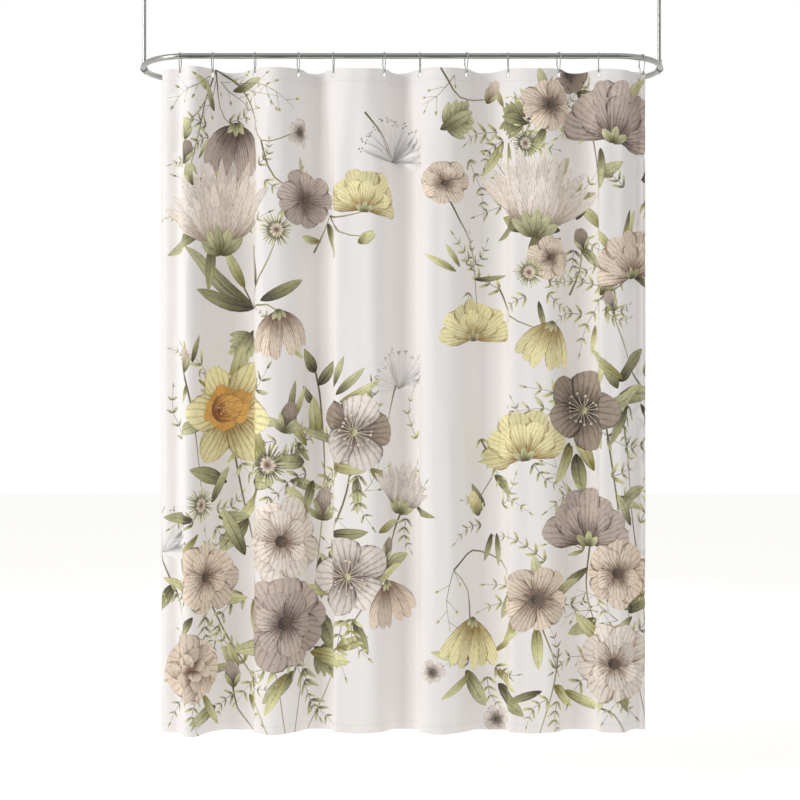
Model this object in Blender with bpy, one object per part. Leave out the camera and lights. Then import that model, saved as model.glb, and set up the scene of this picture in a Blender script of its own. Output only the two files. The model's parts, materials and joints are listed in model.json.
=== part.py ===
"""Shower curtain on a ring rail that hangs from the ceiling by two tubes.

Metres, +Z up. The origin is in the ceiling plane, midway between the two flanges. X runs along the
rail, and -Y is the side that the curtain hangs on and is seen from. The ring is two half rings that
meet inside a fitting at each end. Twelve wire hooks ride on the front half ring and pass through the
buttonholes of one square cloth, which stands in deep folds. The fold line is worked out level by
level from where the hooks stand, so that between two hooks it always has the cloth's own length.
"""

import math

import bmesh
import bpy
from mathutils import Vector

# Clearances
GAP = 0.0003  # left between touching pieces
HOOK_PLAY = 0.0007  # between a hook's crown and the rail it rests on
BUTTONHOLE_PLAY = 0.0010  # between a hook's foot and the top end of its buttonhole
SLOT_PLAY = 0.0021  # beside the wire, which passes a buttonhole at a slant

# Ring rail and what it hangs from
RAIL_DIAMETER = 0.016
RAIL_WALL = 0.0012
RAIL_DROP = 0.400  # ceiling to the rail's centre line
RING_DEPTH = 0.364  # centre line to centre line, front to back
RING_BEND = 0.152  # how much of the ring's length each rounded end takes
LEFT_INSET = 0.127  # first hook to the ring's left end
RIGHT_INSET = 0.073  # last hook to the ring's right end
TUBE_DIAMETER = 0.010
TUBE_WALL = 0.0010
SLEEVE_WALL = 0.0024
SLEEVE_LENGTH = 0.034
SOCKET_WALL = 0.0022
SOCKET_TOP = 0.028  # socket's open end above the rail's centre line
SOCKET_FLOOR = 0.0125  # where the tube stands in the socket, above the rail's centre line
SET_SCREW_DIAMETER = 0.004
SET_SCREW_LENGTH = 0.0034
SET_SCREW_SPACING = 0.017
FLANGE_DIAMETER = 0.064
FLANGE_THICKNESS = 0.005
FLANGE_EDGE = 0.002
NECK_WALL = 0.0045
NECK_LENGTH = 0.020
FLANGE_SCREWS = 3
SCREW_CIRCLE_RADIUS = 0.0225
SCREW_DIAMETER = 0.004
SCREW_HEAD_DIAMETER = 0.008
SCREW_HEAD_HEIGHT = 0.0022
SCREW_LENGTH = 0.030
SCREW_SLOT = 0.0010

# Cloth, flat: 72 inches square with 12 buttonholes every 6 inches
HOOKS = 12
HOLE_PITCH = 0.1524
SIDE_MARGIN = 0.0763  # side edge to the first buttonhole
CLOTH_HEIGHT = 1.829
CLOTH_THICKNESS = 0.0010
FACING_THICKNESS = 0.0008  # the turned-in layer of a hem
HEADER_DEPTH = 0.036
HEM_DEPTH = 0.025
SIDE_HEM = 0.012
EDGE_DROP = 0.036  # rail's centre line to the cloth's top edge
SLOT_HEIGHT = 0.0140
STITCH_BORDER = 0.0020
STITCH_THICKNESS = 0.0006
FLAT_AT_HOOK = 0.0080  # the cloth is flat this far each side of a hook

# Hooks: a pear of spring wire with a catch on its back leg
WIRE_DIAMETER = 0.0025
CROWN_RADIUS = 0.0125
FOOT_RADIUS = 0.0055
FOOT_DROP = 0.0475  # rail's centre line to the wire's underside
CATCH_TOP = 0.30  # where the upper end stops and the catch ends, as shares of the leg
CATCH_BEND = 0.62
CATCH_START = 0.44

# How the cloth hangs
FULLNESS = 1.3097  # cloth between the end hooks over the length of rail it covers
# Length of each space between hooks against an even one: hand-hung cloth is never even
SPACES = (0.773, 1.005, 1.031, 0.834, 1.203, 0.851, 1.100, 0.988, 1.203, 0.945, 1.067)
# Where a forward fold's crest and a backward fold's valley are in their space, top and below
CREST_AT = (0.44, 0.30)
VALLEY_AT = (0.40, 0.45)
RISING_TURN = (-45.0, -97.0)  # degrees, the way the cloth runs at hooks 1, 3, 5, ...
FALLING_TURN = (38.0, 44.0)  # at hooks 2, 4, 6, ...
FIRST_TURN = (-42.0, -30.0)  # at the first hook
LAST_TURN = (-8.0, -25.0)  # at the last hook
TURNING_AT = 0.13  # between the header and this level the folds tighten the most
SETTLED_AT = 0.30  # below this level the folds no longer change
FIRST_DRIFT = (0.0, -0.020)  # the cloth under the first hook stands forward of it
SMALL_FOLD = 0.70  # the last valley's depth against the crest before it

# Facets
RAIL_SIDES = 10
BEND_STEPS = 10
WIRE_SIDES = 6
CROWN_STEPS = 8
FOOT_STEPS = 5
CURVE_STEPS = 14  # between two knots of the fold line, before it is divided evenly
FOLD_PANELS = 5  # flat panels in each space between hooks
ROUND_SIDES = 20

RAIL_RADIUS = RAIL_DIAMETER / 2
WIRE_RADIUS = WIRE_DIAMETER / 2
HOLE_SPACE = HOLE_PITCH / FULLNESS
HOOK_SPAN = HOLE_SPACE * sum(SPACES)
RING_LENGTH = HOOK_SPAN + LEFT_INSET + RIGHT_INSET
HALF_LENGTH = RING_LENGTH / 2
HALF_DEPTH = RING_DEPTH / 2
CLOTH_WIDTH = HOLE_PITCH * (HOOKS - 1) + 2 * SIDE_MARGIN
HOOK_X = [LEFT_INSET - HALF_LENGTH + HOLE_SPACE * sum(SPACES[:i]) for i in range(HOOKS)]
HOOK_U = [SIDE_MARGIN + HOLE_PITCH * i for i in range(HOOKS)]
PIVOT = Vector((0, -HALF_DEPTH, -RAIL_DROP))
SLOT_TOP = FOOT_DROP - WIRE_DIAMETER - BUTTONHOLE_PLAY - EDGE_DROP
SLOT_WIDTH = WIRE_DIAMETER + 2 * SLOT_PLAY


# ---------------------------------------------------------------- objects and materials


def material(name, colour, roughness, metallic):
    made = bpy.data.materials.new(name)
    made.use_nodes = True
    shader = made.node_tree.nodes["Principled BSDF"]
    shader.inputs["Base Color"].default_value = (*colour, 1)
    shader.inputs["Roughness"].default_value = roughness
    shader.inputs["Metallic"].default_value = metallic
    return made


def empty(name, place, parent=None):
    made = bpy.data.objects.new(name, None)
    made.location = place
    made.parent = parent
    bpy.context.scene.collection.objects.link(made)
    return made


def add_object(name, points, faces, finish, place=(0, 0, 0), parent=None, smooth=True):
    """A named object from points about its own origin, with its faces turned outwards."""
    mesh = bpy.data.meshes.new(name)
    mesh.from_pydata([tuple(p) for p in points], [], faces)
    shell = bmesh.new()
    shell.from_mesh(mesh)
    bmesh.ops.recalc_face_normals(shell, faces=shell.faces)
    shell.to_mesh(mesh)
    shell.free()
    if smooth:
        mesh.shade_smooth()
        mesh.set_sharp_from_angle(angle=math.radians(40))
    if finish:
        mesh.materials.append(finish)
    made = bpy.data.objects.new(name, mesh)
    made.location = place
    made.parent = parent
    bpy.context.scene.collection.objects.link(made)
    return made


def modify(target, cutter, operation):
    """Joins the helper to the target or cuts it away, and keeps the helper out of the model."""
    step = target.modifiers.new(operation.title(), "BOOLEAN")
    step.operation = operation
    step.solver = "EXACT"
    step.object = cutter
    cutter.hide_render = True
    cutter.display_type = "WIRE"


# ---------------------------------------------------------------- shapes


def bridge(rings, hollow=None):
    """Points and faces of a rod through these rings, or of a pipe if there are inner rings too."""
    sides, count = len(rings[0]), len(rings)
    points = [p for ring in rings for p in ring]
    faces = []

    def skin(first):
        for k in range(count - 1):
            for s in range(sides):
                a, b = first + k * sides + s, first + k * sides + (s + 1) % sides
                faces.append((a, b, b + sides, a + sides))

    skin(0)
    if hollow is None:
        faces.append(tuple(range(sides)))
        faces.append(tuple(range((count - 1) * sides, count * sides)))
        return points, faces
    inner = len(points)
    points += [p for ring in hollow for p in ring]
    skin(inner)
    for end in (0, (count - 1) * sides):
        for s in range(sides):
            t = (s + 1) % sides
            faces.append((end + s, end + t, inner + end + t, inner + end + s))
    return points, faces


def mitres(path, square_ends=False):
    """At each point of a flat path, the offset that keeps a unit tube's walls parallel."""
    across = []
    for a, b in zip(path, path[1:]):
        way = (Vector(b) - Vector(a)).normalized()
        across.append(Vector((-way.y, way.x)))
    found = []
    for k in range(len(path)):
        before, after = across[max(k - 1, 0)], across[min(k, len(across) - 1)]
        middle = (before + after).normalized()
        found.append(middle / middle.dot(after))
    if square_ends:
        found[0] = Vector((1 / across[0].x, 0))
        found[-1] = Vector((1 / across[-1].x, 0))
    return found


def tube_rings(path, radius, sides, square_ends=False):
    """Rings about a flat path, as (along the plane's two axes, out of the plane)."""
    rings = []
    for (p, q), offset in zip(path, mitres(path, square_ends)):
        ring = []
        for s in range(sides):
            turn = 2 * math.pi * (s + 0.5) / sides
            in_plane = offset * (radius * math.cos(turn))
            ring.append(Vector((p + in_plane.x, q + in_plane.y, radius * math.sin(turn))))
        rings.append(ring)
    return rings


def turned(profile, sides=ROUND_SIDES, centre=(0, 0)):
    """Rings of a turned piece from (radius, height) pairs."""
    return [
        [
            Vector(
                (
                    centre[0] + r * math.cos(2 * math.pi * s / sides),
                    centre[1] + r * math.sin(2 * math.pi * s / sides),
                    z,
                )
            )
            for s in range(sides)
        ]
        for r, z in profile
    ]


# ---------------------------------------------------------------- ring rail


def bend_point(turn, side):
    """A point on the ring's rounded end: turn 0 at the very end, 90 degrees at the straight."""
    return (
        side * (HALF_LENGTH - RING_BEND + RING_BEND * math.cos(turn)),
        -HALF_DEPTH * math.sin(turn),
    )


def front_path():
    """The front half ring's centre line from its left end to its right end."""
    turns = [math.pi / 2 * k / BEND_STEPS for k in range(BEND_STEPS + 1)]
    left = [bend_point(t, -1) for t in turns]
    right = [bend_point(t, 1) for t in reversed(turns)]
    left[0] = (left[0][0], -GAP)
    right[-1] = (right[-1][0], -GAP)
    return left + right


def rail_offset(x):
    """How far the front half ring has turned back at x, and the degrees that it has turned."""
    share = (abs(x) - HALF_LENGTH + RING_BEND) / RING_BEND
    if share <= 0:
        return 0.0, 0.0
    rise = math.sqrt(1 - share * share)
    slope = HALF_DEPTH / RING_BEND * share / rise
    return HALF_DEPTH * (1 - rise), math.copysign(math.degrees(math.atan(slope)), x)


def make_half_ring(name, side, finish, root):
    path = [(x, y * side) for x, y in front_path()]
    outer = tube_rings(path, RAIL_RADIUS, RAIL_SIDES, square_ends=True)
    inner = tube_rings(path, RAIL_RADIUS - RAIL_WALL, RAIL_SIDES, square_ends=True)
    points, faces = bridge(outer, inner)
    add_object(name, points, faces, finish, (0, 0, -RAIL_DROP), root)


def end_path(side, length):
    """The ring's centre line through an end fitting, along the rail's own facets."""
    corner = Vector(bend_point(math.pi / 2 / BEND_STEPS, side))
    end = Vector((side * HALF_LENGTH, 0))
    front = end + (corner - end).normalized() * (length / 2)
    return [(front.x, front.y), (end.x, end.y), (front.x, -front.y)]


def make_end_fitting(name, side, finish, root):
    """A sleeve over both half rings' ends with a socket for the ceiling tube on top of it."""
    place = (0, 0, -RAIL_DROP)
    sleeve_radius = RAIL_RADIUS + GAP + SLEEVE_WALL
    tube_radius = TUBE_DIAMETER / 2 + GAP
    centre = (side * HALF_LENGTH, 0)
    sleeve = bridge(tube_rings(end_path(side, SLEEVE_LENGTH), sleeve_radius, ROUND_SIDES, True))
    fitting = add_object(name, *sleeve, finish, place, root)
    socket = turned([(tube_radius + SOCKET_WALL, 0), (tube_radius + SOCKET_WALL, SOCKET_TOP)], centre=centre)
    modify(fitting, add_object(name + "_socket", *bridge(socket), None, place, root), "UNION")
    bore = bridge(tube_rings(end_path(side, 2 * SLEEVE_LENGTH), RAIL_RADIUS + GAP, RAIL_SIDES, True))
    modify(fitting, add_object(name + "_bore", *bore, None, place, root), "DIFFERENCE")
    well = turned([(tube_radius, SOCKET_FLOOR - GAP), (tube_radius, 2 * SOCKET_TOP)], centre=centre)
    modify(fitting, add_object(name + "_well", *bridge(well), None, place, root), "DIFFERENCE")
    for end, way in (("front", -1), ("rear", 1)):
        at = (side * HALF_LENGTH, way * SET_SCREW_SPACING / 2)
        reach = SET_SCREW_DIAMETER / 2 + GAP
        hole = turned([(reach, -2 * sleeve_radius), (reach, 0)], centre=at)
        modify(fitting, add_object(f"{name}_{end}_hole", *bridge(hole), None, place, root), "DIFFERENCE")


def make_set_screw(name, side, way, finish, root):
    radius, top = SET_SCREW_DIAMETER / 2, -RAIL_RADIUS - GAP
    profile = [(radius * 0.6, 0), (radius, -radius * 0.4), (radius, -SET_SCREW_LENGTH)]
    rings = turned(profile, sides=12)
    place = (side * HALF_LENGTH, way * SET_SCREW_SPACING / 2, top - RAIL_DROP)
    add_object(name, *bridge(rings), finish, place, root)


def make_ceiling_tube(name, side, finish, root):
    outer, inner = TUBE_DIAMETER / 2, TUBE_DIAMETER / 2 - TUBE_WALL
    ends = (-RAIL_DROP + SOCKET_FLOOR, -GAP)
    skins = [turned([(r, z) for z in ends]) for r in (outer, inner)]
    add_object(name, *bridge(*skins), finish, (side * HALF_LENGTH, 0, 0), root)


def screw_places():
    for k in range(FLANGE_SCREWS):
        turn = math.pi / 2 + 2 * math.pi * k / FLANGE_SCREWS
        yield k + 1, SCREW_CIRCLE_RADIUS * math.cos(turn), SCREW_CIRCLE_RADIUS * math.sin(turn)


def screw_profile(clearance):
    """A countersunk screw from its head down, pointing up into the ceiling."""
    head, shank = SCREW_HEAD_DIAMETER / 2 + clearance, SCREW_DIAMETER / 2 + clearance
    face = -FLANGE_THICKNESS
    return [(head, face), (shank, face + SCREW_HEAD_HEIGHT), (shank, face + SCREW_LENGTH)]


def make_flange(name, side, finish, root):
    """A round plate with a neck for the tube, and countersunk holes for its screws."""
    bore, neck = TUBE_DIAMETER / 2 + GAP, TUBE_DIAMETER / 2 + GAP + NECK_WALL
    rim = FLANGE_DIAMETER / 2
    low = -FLANGE_THICKNESS
    outside = [(rim, 0), (rim, low + FLANGE_EDGE), (rim - FLANGE_EDGE, low), (neck, low), (neck, -NECK_LENGTH)]
    inside = [(bore, z) for _, z in outside]
    inside[2] = (bore, low * 0.8)
    place = (side * HALF_LENGTH, 0, 0)
    flange = add_object(name, *bridge(turned(outside, 32), turned(inside, 32)), finish, place, root)
    for k, x, y in screw_places():
        head, neck_end, tip = screw_profile(GAP)
        below = (head[0], head[1] - FLANGE_THICKNESS)
        hole = turned([below, head, neck_end, tip], sides=12, centre=(x, y))
        modify(flange, add_object(f"{name}_hole_{k}", *bridge(hole), None, place, root), "DIFFERENCE")


def make_flange_screws(name, side, finish, root):
    for k, x, y in screw_places():
        head, neck_end, tip = screw_profile(0)
        point = (tip[0] * 0.2, tip[1])
        rings = turned([head, neck_end, (tip[0], tip[1] - 3 * tip[0]), point], sides=12)
        place = (side * HALF_LENGTH + x, y, 0)
        screw = add_object(f"{name}_{k}", *bridge(rings), finish, place, root)
        slot_depth = SCREW_HEAD_HEIGHT / 2
        corners = [
            Vector((a * SCREW_HEAD_DIAMETER, b * SCREW_SLOT / 2, head[1] + c * slot_depth))
            for c in (-1, 1)
            for a, b in ((-1, -1), (1, -1), (1, 1), (-1, 1))
        ]
        slot = bridge([corners[:4], corners[4:]])
        modify(screw, add_object(f"{name}_{k}_slot", *slot, None, place, root, smooth=False), "DIFFERENCE")


# ---------------------------------------------------------------- hooks


def hook_path():
    """The wire's centre line as (through the cloth, up) from the rail's centre, back leg first."""
    crown = Vector((0, RAIL_RADIUS + HOOK_PLAY + WIRE_RADIUS - CROWN_RADIUS))
    foot = Vector((0, WIRE_RADIUS + FOOT_RADIUS - FOOT_DROP))
    lean = math.asin((CROWN_RADIUS - FOOT_RADIUS) / (crown.y - foot.y))
    out = Vector((math.cos(lean), -math.sin(lean)))
    high, low = crown + out * CROWN_RADIUS, foot + out * FOOT_RADIUS

    def arc(centre, radius, start, stop, steps):
        turns = [start + (stop - start) * k / steps for k in range(steps + 1)]
        return [centre + Vector((math.cos(t), math.sin(t))) * radius for t in turns]

    path = [high.lerp(low, CATCH_START)]
    path += arc(crown, CROWN_RADIUS, -lean, math.pi + lean, CROWN_STEPS)
    path += arc(foot, FOOT_RADIUS, math.pi + lean, 2 * math.pi - lean, FOOT_STEPS)
    beside = out * (WIRE_DIAMETER + GAP)
    path.append(high.lerp(low, CATCH_BEND))
    path.append(high.lerp(low, CATCH_BEND - 0.1) + beside)
    path.append(high.lerp(low, CATCH_TOP) + beside)
    return path


def hook_turn(index):
    """Degrees that a hook is turned about the vertical, from square to the long way of the rail."""
    swung = 8.0 if index % 2 == 0 else -20.0
    turned_by_rail = -rail_offset(HOOK_X[index])[1]
    return turned_by_rail if turned_by_rail else swung


def make_hook(index, finish, parent):
    x = HOOK_X[index]
    back, _ = rail_offset(x)
    turn = math.radians(hook_turn(index))
    through = Vector((math.sin(turn), math.cos(turn), 0))
    beside = Vector((math.cos(turn), -math.sin(turn), 0))
    rings = [
        [through * p + Vector((0, 0, q)) + beside * b for p, q, b in ring]
        for ring in tube_rings(hook_path(), WIRE_RADIUS, WIRE_SIDES)
    ]
    # a hook that slides along the straight stands halfway between it and the turning rail
    place = (x, back if index == HOOKS - 1 else back / 2, 0)
    add_object(f"hook_{index + 1:02d}", *bridge(rings), finish, place, parent)


# ---------------------------------------------------------------- cloth


def between(pair, level):
    """A value that is the first in the header and the second from where the folds settle."""
    share = min(max((level - HEADER_DEPTH) / (SETTLED_AT - HEADER_DEPTH), 0.0), 1.0)
    share = share * share * (3 - 2 * share)
    return pair[0] + (pair[1] - pair[0]) * share


def hang_turn(index, level):
    ends = {0: FIRST_TURN, HOOKS - 1: LAST_TURN}
    return between(ends.get(index, RISING_TURN if index % 2 == 0 else FALLING_TURN), level)


def hook_knot(index, level):
    """Where the cloth passes a hook: (place, degrees that it runs at)."""
    back, _ = rail_offset(HOOK_X[index])
    back = back if index == HOOKS - 1 else back / 2
    drift = between(FIRST_DRIFT, level) if index == 0 else 0.0
    return Vector((HOOK_X[index], back + drift)), hang_turn(index, level)


def space_knots(index, depth, level):
    """Knots of the fold between a hook and the next, for a fold this deep."""
    start, end = hook_knot(index, level), hook_knot(index + 1, level)
    if index == HOOKS - 2:
        crest = start[0].lerp(end[0], 0.44) - Vector((0, depth))
        waist = start[0].lerp(end[0], 0.72) + Vector((0, depth * 0.1))
        valley = start[0].lerp(end[0], 0.88) + Vector((0, depth * SMALL_FOLD))
        return [start, (crest, 0.0), (waist, 62.0), (valley, 10.0), end]
    forward = index % 2 == 0
    share = between(CREST_AT if forward else VALLEY_AT, level)
    offset = Vector((0, -depth if forward else depth))
    return [start, (start[0].lerp(end[0], share) + offset, 0.0), end]


def smooth_line(knots):
    """A smooth line through knots, each with the way that the line runs there."""
    line = [knots[0][0]]
    for (a, turn_a), (b, turn_b) in zip(knots, knots[1:]):
        reach = (b - a).length * 1.15
        way_a = Vector((math.cos(math.radians(turn_a)), math.sin(math.radians(turn_a)))) * reach
        way_b = Vector((math.cos(math.radians(turn_b)), math.sin(math.radians(turn_b)))) * reach
        for k in range(1, CURVE_STEPS + 1):
            t = k / CURVE_STEPS
            line.append(
                a * (2 * t**3 - 3 * t**2 + 1)
                + way_a * (t**3 - 2 * t**2 + t)
                + b * (3 * t**2 - 2 * t**3)
                + way_b * (t**3 - t**2)
            )
    return line


def length_of(line):
    return sum((b - a).length for a, b in zip(line, line[1:]))


def fold(index, level):
    """The fold line in one space, as deep as the cloth between its two hooks makes it."""
    shallow, deep = 0.0, HOLE_PITCH
    for _ in range(24):
        middle = (shallow + deep) / 2
        if length_of(smooth_line(space_knots(index, middle, level))) < HOLE_PITCH:
            shallow = middle
        else:
            deep = middle
    return smooth_line(space_knots(index, deep, level))


def side_margin(index, level):
    """The cloth outside an end hook, from the hook to the side edge, before it is cut to length."""
    place, turn = hook_knot(index, level)
    if index == 0:
        bulge = place + Vector((-0.036, 0.002))
        edge = place + Vector((-0.054, 0.038))
        return smooth_line([(place, 150.0), (bulge, 160.0), (edge, 96.0)])
    corner = place + Vector((0.0105, 0.012))
    edge = place + Vector((-0.004, 0.076))
    return smooth_line([(place, turn), (corner, 88.0), (edge, 100.0)])


def along(line, distance):
    """The point at a distance along a line, which runs on straight past its end."""
    for a, b in zip(line, line[1:]):
        step = (b - a).length
        if distance <= step or b is line[-1]:
            return a + (b - a) * (distance / step)
        distance -= step


def flat_stations(borders):
    """Distances across the flat cloth where its panels meet, from the left side edge."""
    near = [SLOT_WIDTH / 2 + STITCH_BORDER] * borders + [SLOT_WIDTH / 2]
    at_hook = [-FLAT_AT_HOOK, *[-n for n in near], *reversed(near), FLAT_AT_HOOK]
    found = [0.0, SIDE_HEM, HOOK_U[0] / 2 + SIDE_HEM / 2]
    for index, u in enumerate(HOOK_U):
        found += [u + d for d in at_hook]
        if index < HOOKS - 1:
            free = HOLE_PITCH - 2 * FLAT_AT_HOOK
            found += [u + FLAT_AT_HOOK + free * k / FOLD_PANELS for k in range(1, FOLD_PANELS)]
    found += [CLOTH_WIDTH - found[2], CLOTH_WIDTH - SIDE_HEM, CLOTH_WIDTH]
    return found


def station_point(u, level, folds):
    """Where a distance across the cloth lies in plan at a level."""
    for index, hook_u in enumerate(HOOK_U):
        if abs(u - hook_u) <= FLAT_AT_HOOK + 1e-9:
            place, turn = hook_knot(index, level)
            turn = math.radians(turn)
            return place + Vector((math.cos(turn), math.sin(turn))) * (u - hook_u)
    if u < HOOK_U[0]:
        return along(folds["left"], HOOK_U[0] - u)
    if u > HOOK_U[-1]:
        return along(folds["right"], u - HOOK_U[-1])
    index = int((u - SIDE_MARGIN) / HOLE_PITCH)
    return along(folds[index], u - HOOK_U[index])


def fold_line(stations, level):
    """At each station of a level, its place in plan and the cloth's thickness direction there."""
    folds = {index: fold(index, level) for index in range(HOOKS - 1)}
    folds["left"] = side_margin(0, level)
    folds["right"] = side_margin(HOOKS - 1, level)
    places = [station_point(u, level, folds) for u in stations]
    return list(zip(places, mitres(places)))


class Cloth:
    """The folded cloth, from which its layers are taken."""

    def __init__(self):
        self.stations = flat_stations(borders=True)
        self.plain_stations = flat_stations(borders=False)
        self.lines = {}

    def line(self, level):
        """Place and thickness direction at every station of a level."""
        if level not in self.lines:
            folded = fold_line(self.stations, level)
            self.lines[level] = {round(u, 7): at for u, at in zip(self.stations, folded)}
        return self.lines[level]

    def point(self, u, level, offset):
        place, way = self.line(level)[round(u, 7)]
        plan = place + way * offset
        return Vector((plan.x, plan.y, -EDGE_DROP - level))

    def across(self, low, high):
        """The stations where a layer's panels meet, from one side of it to the other."""
        return [u for u in self.plain_stations if low - 1e-7 <= u <= high + 1e-7]

    def layer(self, name, stations, levels, front, back, holes, finish, parent):
        """A solid layer of the cloth between two offsets, without the cells in the holes."""
        columns, rows = range(len(stations)), range(len(levels))
        grid = {}
        points = []
        for side, offset in enumerate((front, back)):
            for c in columns:
                for r in rows:
                    grid[side, c, r] = len(points)
                    points.append(self.point(stations[c], levels[r], offset))

        def solid(c, r):
            if not (0 <= c < len(stations) - 1 and 0 <= r < len(levels) - 1):
                return False
            u = (stations[c] + stations[c + 1]) / 2
            v = (levels[r] + levels[r + 1]) / 2
            return not any(a < u < b and lo < v < hi for a, b, lo, hi in holes)

        faces = []
        for c in columns[:-1]:
            for r in rows[:-1]:
                if not solid(c, r):
                    continue
                corners = [(c, r), (c + 1, r), (c + 1, r + 1), (c, r + 1)]
                faces += [tuple(grid[side, *corner] for corner in corners) for side in (0, 1)]
                beyond = [(c, r - 1), (c + 1, r), (c, r + 1), (c - 1, r)]
                for k, neighbour in enumerate(beyond):
                    if not solid(*neighbour):
                        a, b = corners[k], corners[(k + 1) % 4]
                        faces.append((grid[0, *a], grid[0, *b], grid[1, *b], grid[1, *a]))
        used = sorted({i for face in faces for i in face})
        place = {old: new for new, old in enumerate(used)}
        faces = [tuple(place[i] for i in face) for face in faces]
        add_object(name, [points[i] for i in used], faces, finish, parent=parent, smooth=False)


def make_cloth(fabric, thread, pivot):
    cloth = Cloth()
    whole, bottom = cloth.across(0.0, CLOTH_WIDTH), CLOTH_HEIGHT
    slot_end = SLOT_TOP + SLOT_HEIGHT
    slots = [(u - SLOT_WIDTH / 2, u + SLOT_WIDTH / 2, SLOT_TOP, slot_end) for u in HOOK_U]
    half = CLOTH_THICKNESS / 2
    header = [0.0, SLOT_TOP, slot_end, HEADER_DEPTH]
    loose = [TURNING_AT, SETTLED_AT]
    hem = [bottom - HEM_DEPTH, bottom]
    cloth.layer("curtain_panel", whole, header + loose + hem, -half, half, slots, fabric, pivot)
    facing = (half + GAP, half + GAP + FACING_THICKNESS)
    cloth.layer("header_facing", whole, header, *facing, slots, fabric, pivot)
    cloth.layer("bottom_hem", whole, hem, *facing, [], fabric, pivot)
    side_levels = [HEADER_DEPTH + GAP, *loose, bottom - HEM_DEPTH - GAP]
    left, right = cloth.across(0.0, SIDE_HEM), cloth.across(CLOTH_WIDTH - SIDE_HEM, CLOTH_WIDTH)
    cloth.layer("side_hem_left", left, side_levels, *facing, [], fabric, pivot)
    cloth.layer("side_hem_right", right, side_levels, *facing, [], fabric, pivot)
    front = (-half - GAP - STITCH_THICKNESS, -half - GAP)
    for index, slot in enumerate(slots):
        left, right, top, low = slot
        stations = [left - STITCH_BORDER, left, right, right + STITCH_BORDER]
        down = [top - STITCH_BORDER, top, low, low + STITCH_BORDER]
        name = f"buttonhole_{index + 1:02d}"
        cloth.layer(name, stations, down, *front, [slot], thread, pivot)


# ---------------------------------------------------------------- assembly


def main():
    for old in list(bpy.data.objects):
        bpy.data.objects.remove(old)
    steel = material("brushed_stainless_steel", (0.60, 0.60, 0.58), 0.25, 1.0)
    wire = material("polished_spring_wire", (0.55, 0.55, 0.55), 0.18, 1.0)
    fastener = material("zinc_plated_steel", (0.50, 0.50, 0.52), 0.35, 1.0)
    fabric = material("printed_polyester", (0.82, 0.80, 0.78), 0.85, 0.0)
    thread = material("polyester_thread", (0.85, 0.83, 0.80), 0.80, 0.0)

    root = empty("rail_root", (0, 0, 0))
    pivot = empty("curtain_pivot", PIVOT, root)
    make_half_ring("rail_front", 1, steel, root)
    make_half_ring("rail_rear", -1, steel, root)
    for label, side in (("left", -1), ("right", 1)):
        make_end_fitting(f"end_fitting_{label}", side, steel, root)
        for end, way in (("front", -1), ("rear", 1)):
            make_set_screw(f"set_screw_{label}_{end}", side, way, fastener, root)
        make_ceiling_tube(f"ceiling_tube_{label}", side, steel, root)
        make_flange(f"ceiling_flange_{label}", side, steel, root)
        make_flange_screws(f"flange_screw_{label}", side, fastener, root)
    for index in range(HOOKS):
        make_hook(index, wire, pivot)
    make_cloth(fabric, thread, pivot)


main()
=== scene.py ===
"""Shower curtain on a ring rail: how it looks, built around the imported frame.

Metres, +Z up. The cloth is planned flat: u runs across it from its left edge and v down it from its
top edge, both in metres. Folds hangs any flat place in the folds that the hooks give it, so the print,
the hems and every stitch are drawn flat and then hung together. Run it with Blender as a script.
"""

import json
import math
import random

import bpy
import numpy as np
from bpy.props import FloatProperty, FloatVectorProperty, IntProperty, PointerProperty
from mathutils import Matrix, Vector
from mathutils.geometry import delaunay_2d_cdt


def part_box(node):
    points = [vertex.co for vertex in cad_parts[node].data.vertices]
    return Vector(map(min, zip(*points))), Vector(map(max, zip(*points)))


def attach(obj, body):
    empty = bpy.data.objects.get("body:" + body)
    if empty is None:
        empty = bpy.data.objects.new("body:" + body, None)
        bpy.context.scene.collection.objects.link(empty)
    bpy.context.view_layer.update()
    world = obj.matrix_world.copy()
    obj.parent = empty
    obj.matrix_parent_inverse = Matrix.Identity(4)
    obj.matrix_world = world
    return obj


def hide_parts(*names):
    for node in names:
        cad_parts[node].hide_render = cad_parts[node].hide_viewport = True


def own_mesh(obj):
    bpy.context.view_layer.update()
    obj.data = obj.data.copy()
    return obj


bl_info = {
    "name": "Shower curtain on a ring rail",
    "version": (1, 0, 0),
    "blender": (4, 5, 0),
    "location": "3D View > Sidebar > Curtain",
    "description": "Builds a printed shower curtain, its wire hooks and the ring rail it hangs from",
    "category": "Object",
}

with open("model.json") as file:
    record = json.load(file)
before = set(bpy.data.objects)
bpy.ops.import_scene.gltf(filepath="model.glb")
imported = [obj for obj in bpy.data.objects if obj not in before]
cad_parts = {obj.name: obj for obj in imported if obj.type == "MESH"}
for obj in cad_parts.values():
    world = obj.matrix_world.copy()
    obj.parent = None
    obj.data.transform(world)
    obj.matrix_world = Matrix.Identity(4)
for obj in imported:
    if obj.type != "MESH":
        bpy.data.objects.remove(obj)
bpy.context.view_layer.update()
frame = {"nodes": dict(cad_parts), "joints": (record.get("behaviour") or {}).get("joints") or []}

HOOK_NODES = sorted(name for name in frame["nodes"] if name.startswith("hook_"))
SLOT_NODES = [name.replace("hook", "buttonhole") for name in HOOK_NODES]
PANEL_LOW, PANEL_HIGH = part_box("curtain_panel")
HEADER_LOW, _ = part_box("header_facing")
_, HEM_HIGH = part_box("bottom_hem")
TUBE_LOW, TUBE_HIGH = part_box("ceiling_tube_left")
SWING = next(joint for joint in frame["joints"] if joint["name"] == "curtain_swing")
RAIL_Y, RAIL_CENTRE_Z = SWING["pos_m"][1:]
RAIL_DIAMETER = 0.016
TUBE_X = (TUBE_LOW.x + TUBE_HIGH.x) / 2
SEED = 7


def hook_centre(name):
    """The place of a hook along the rail: the middle of its own width."""
    low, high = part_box(name)
    return (low + high) / 2


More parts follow.
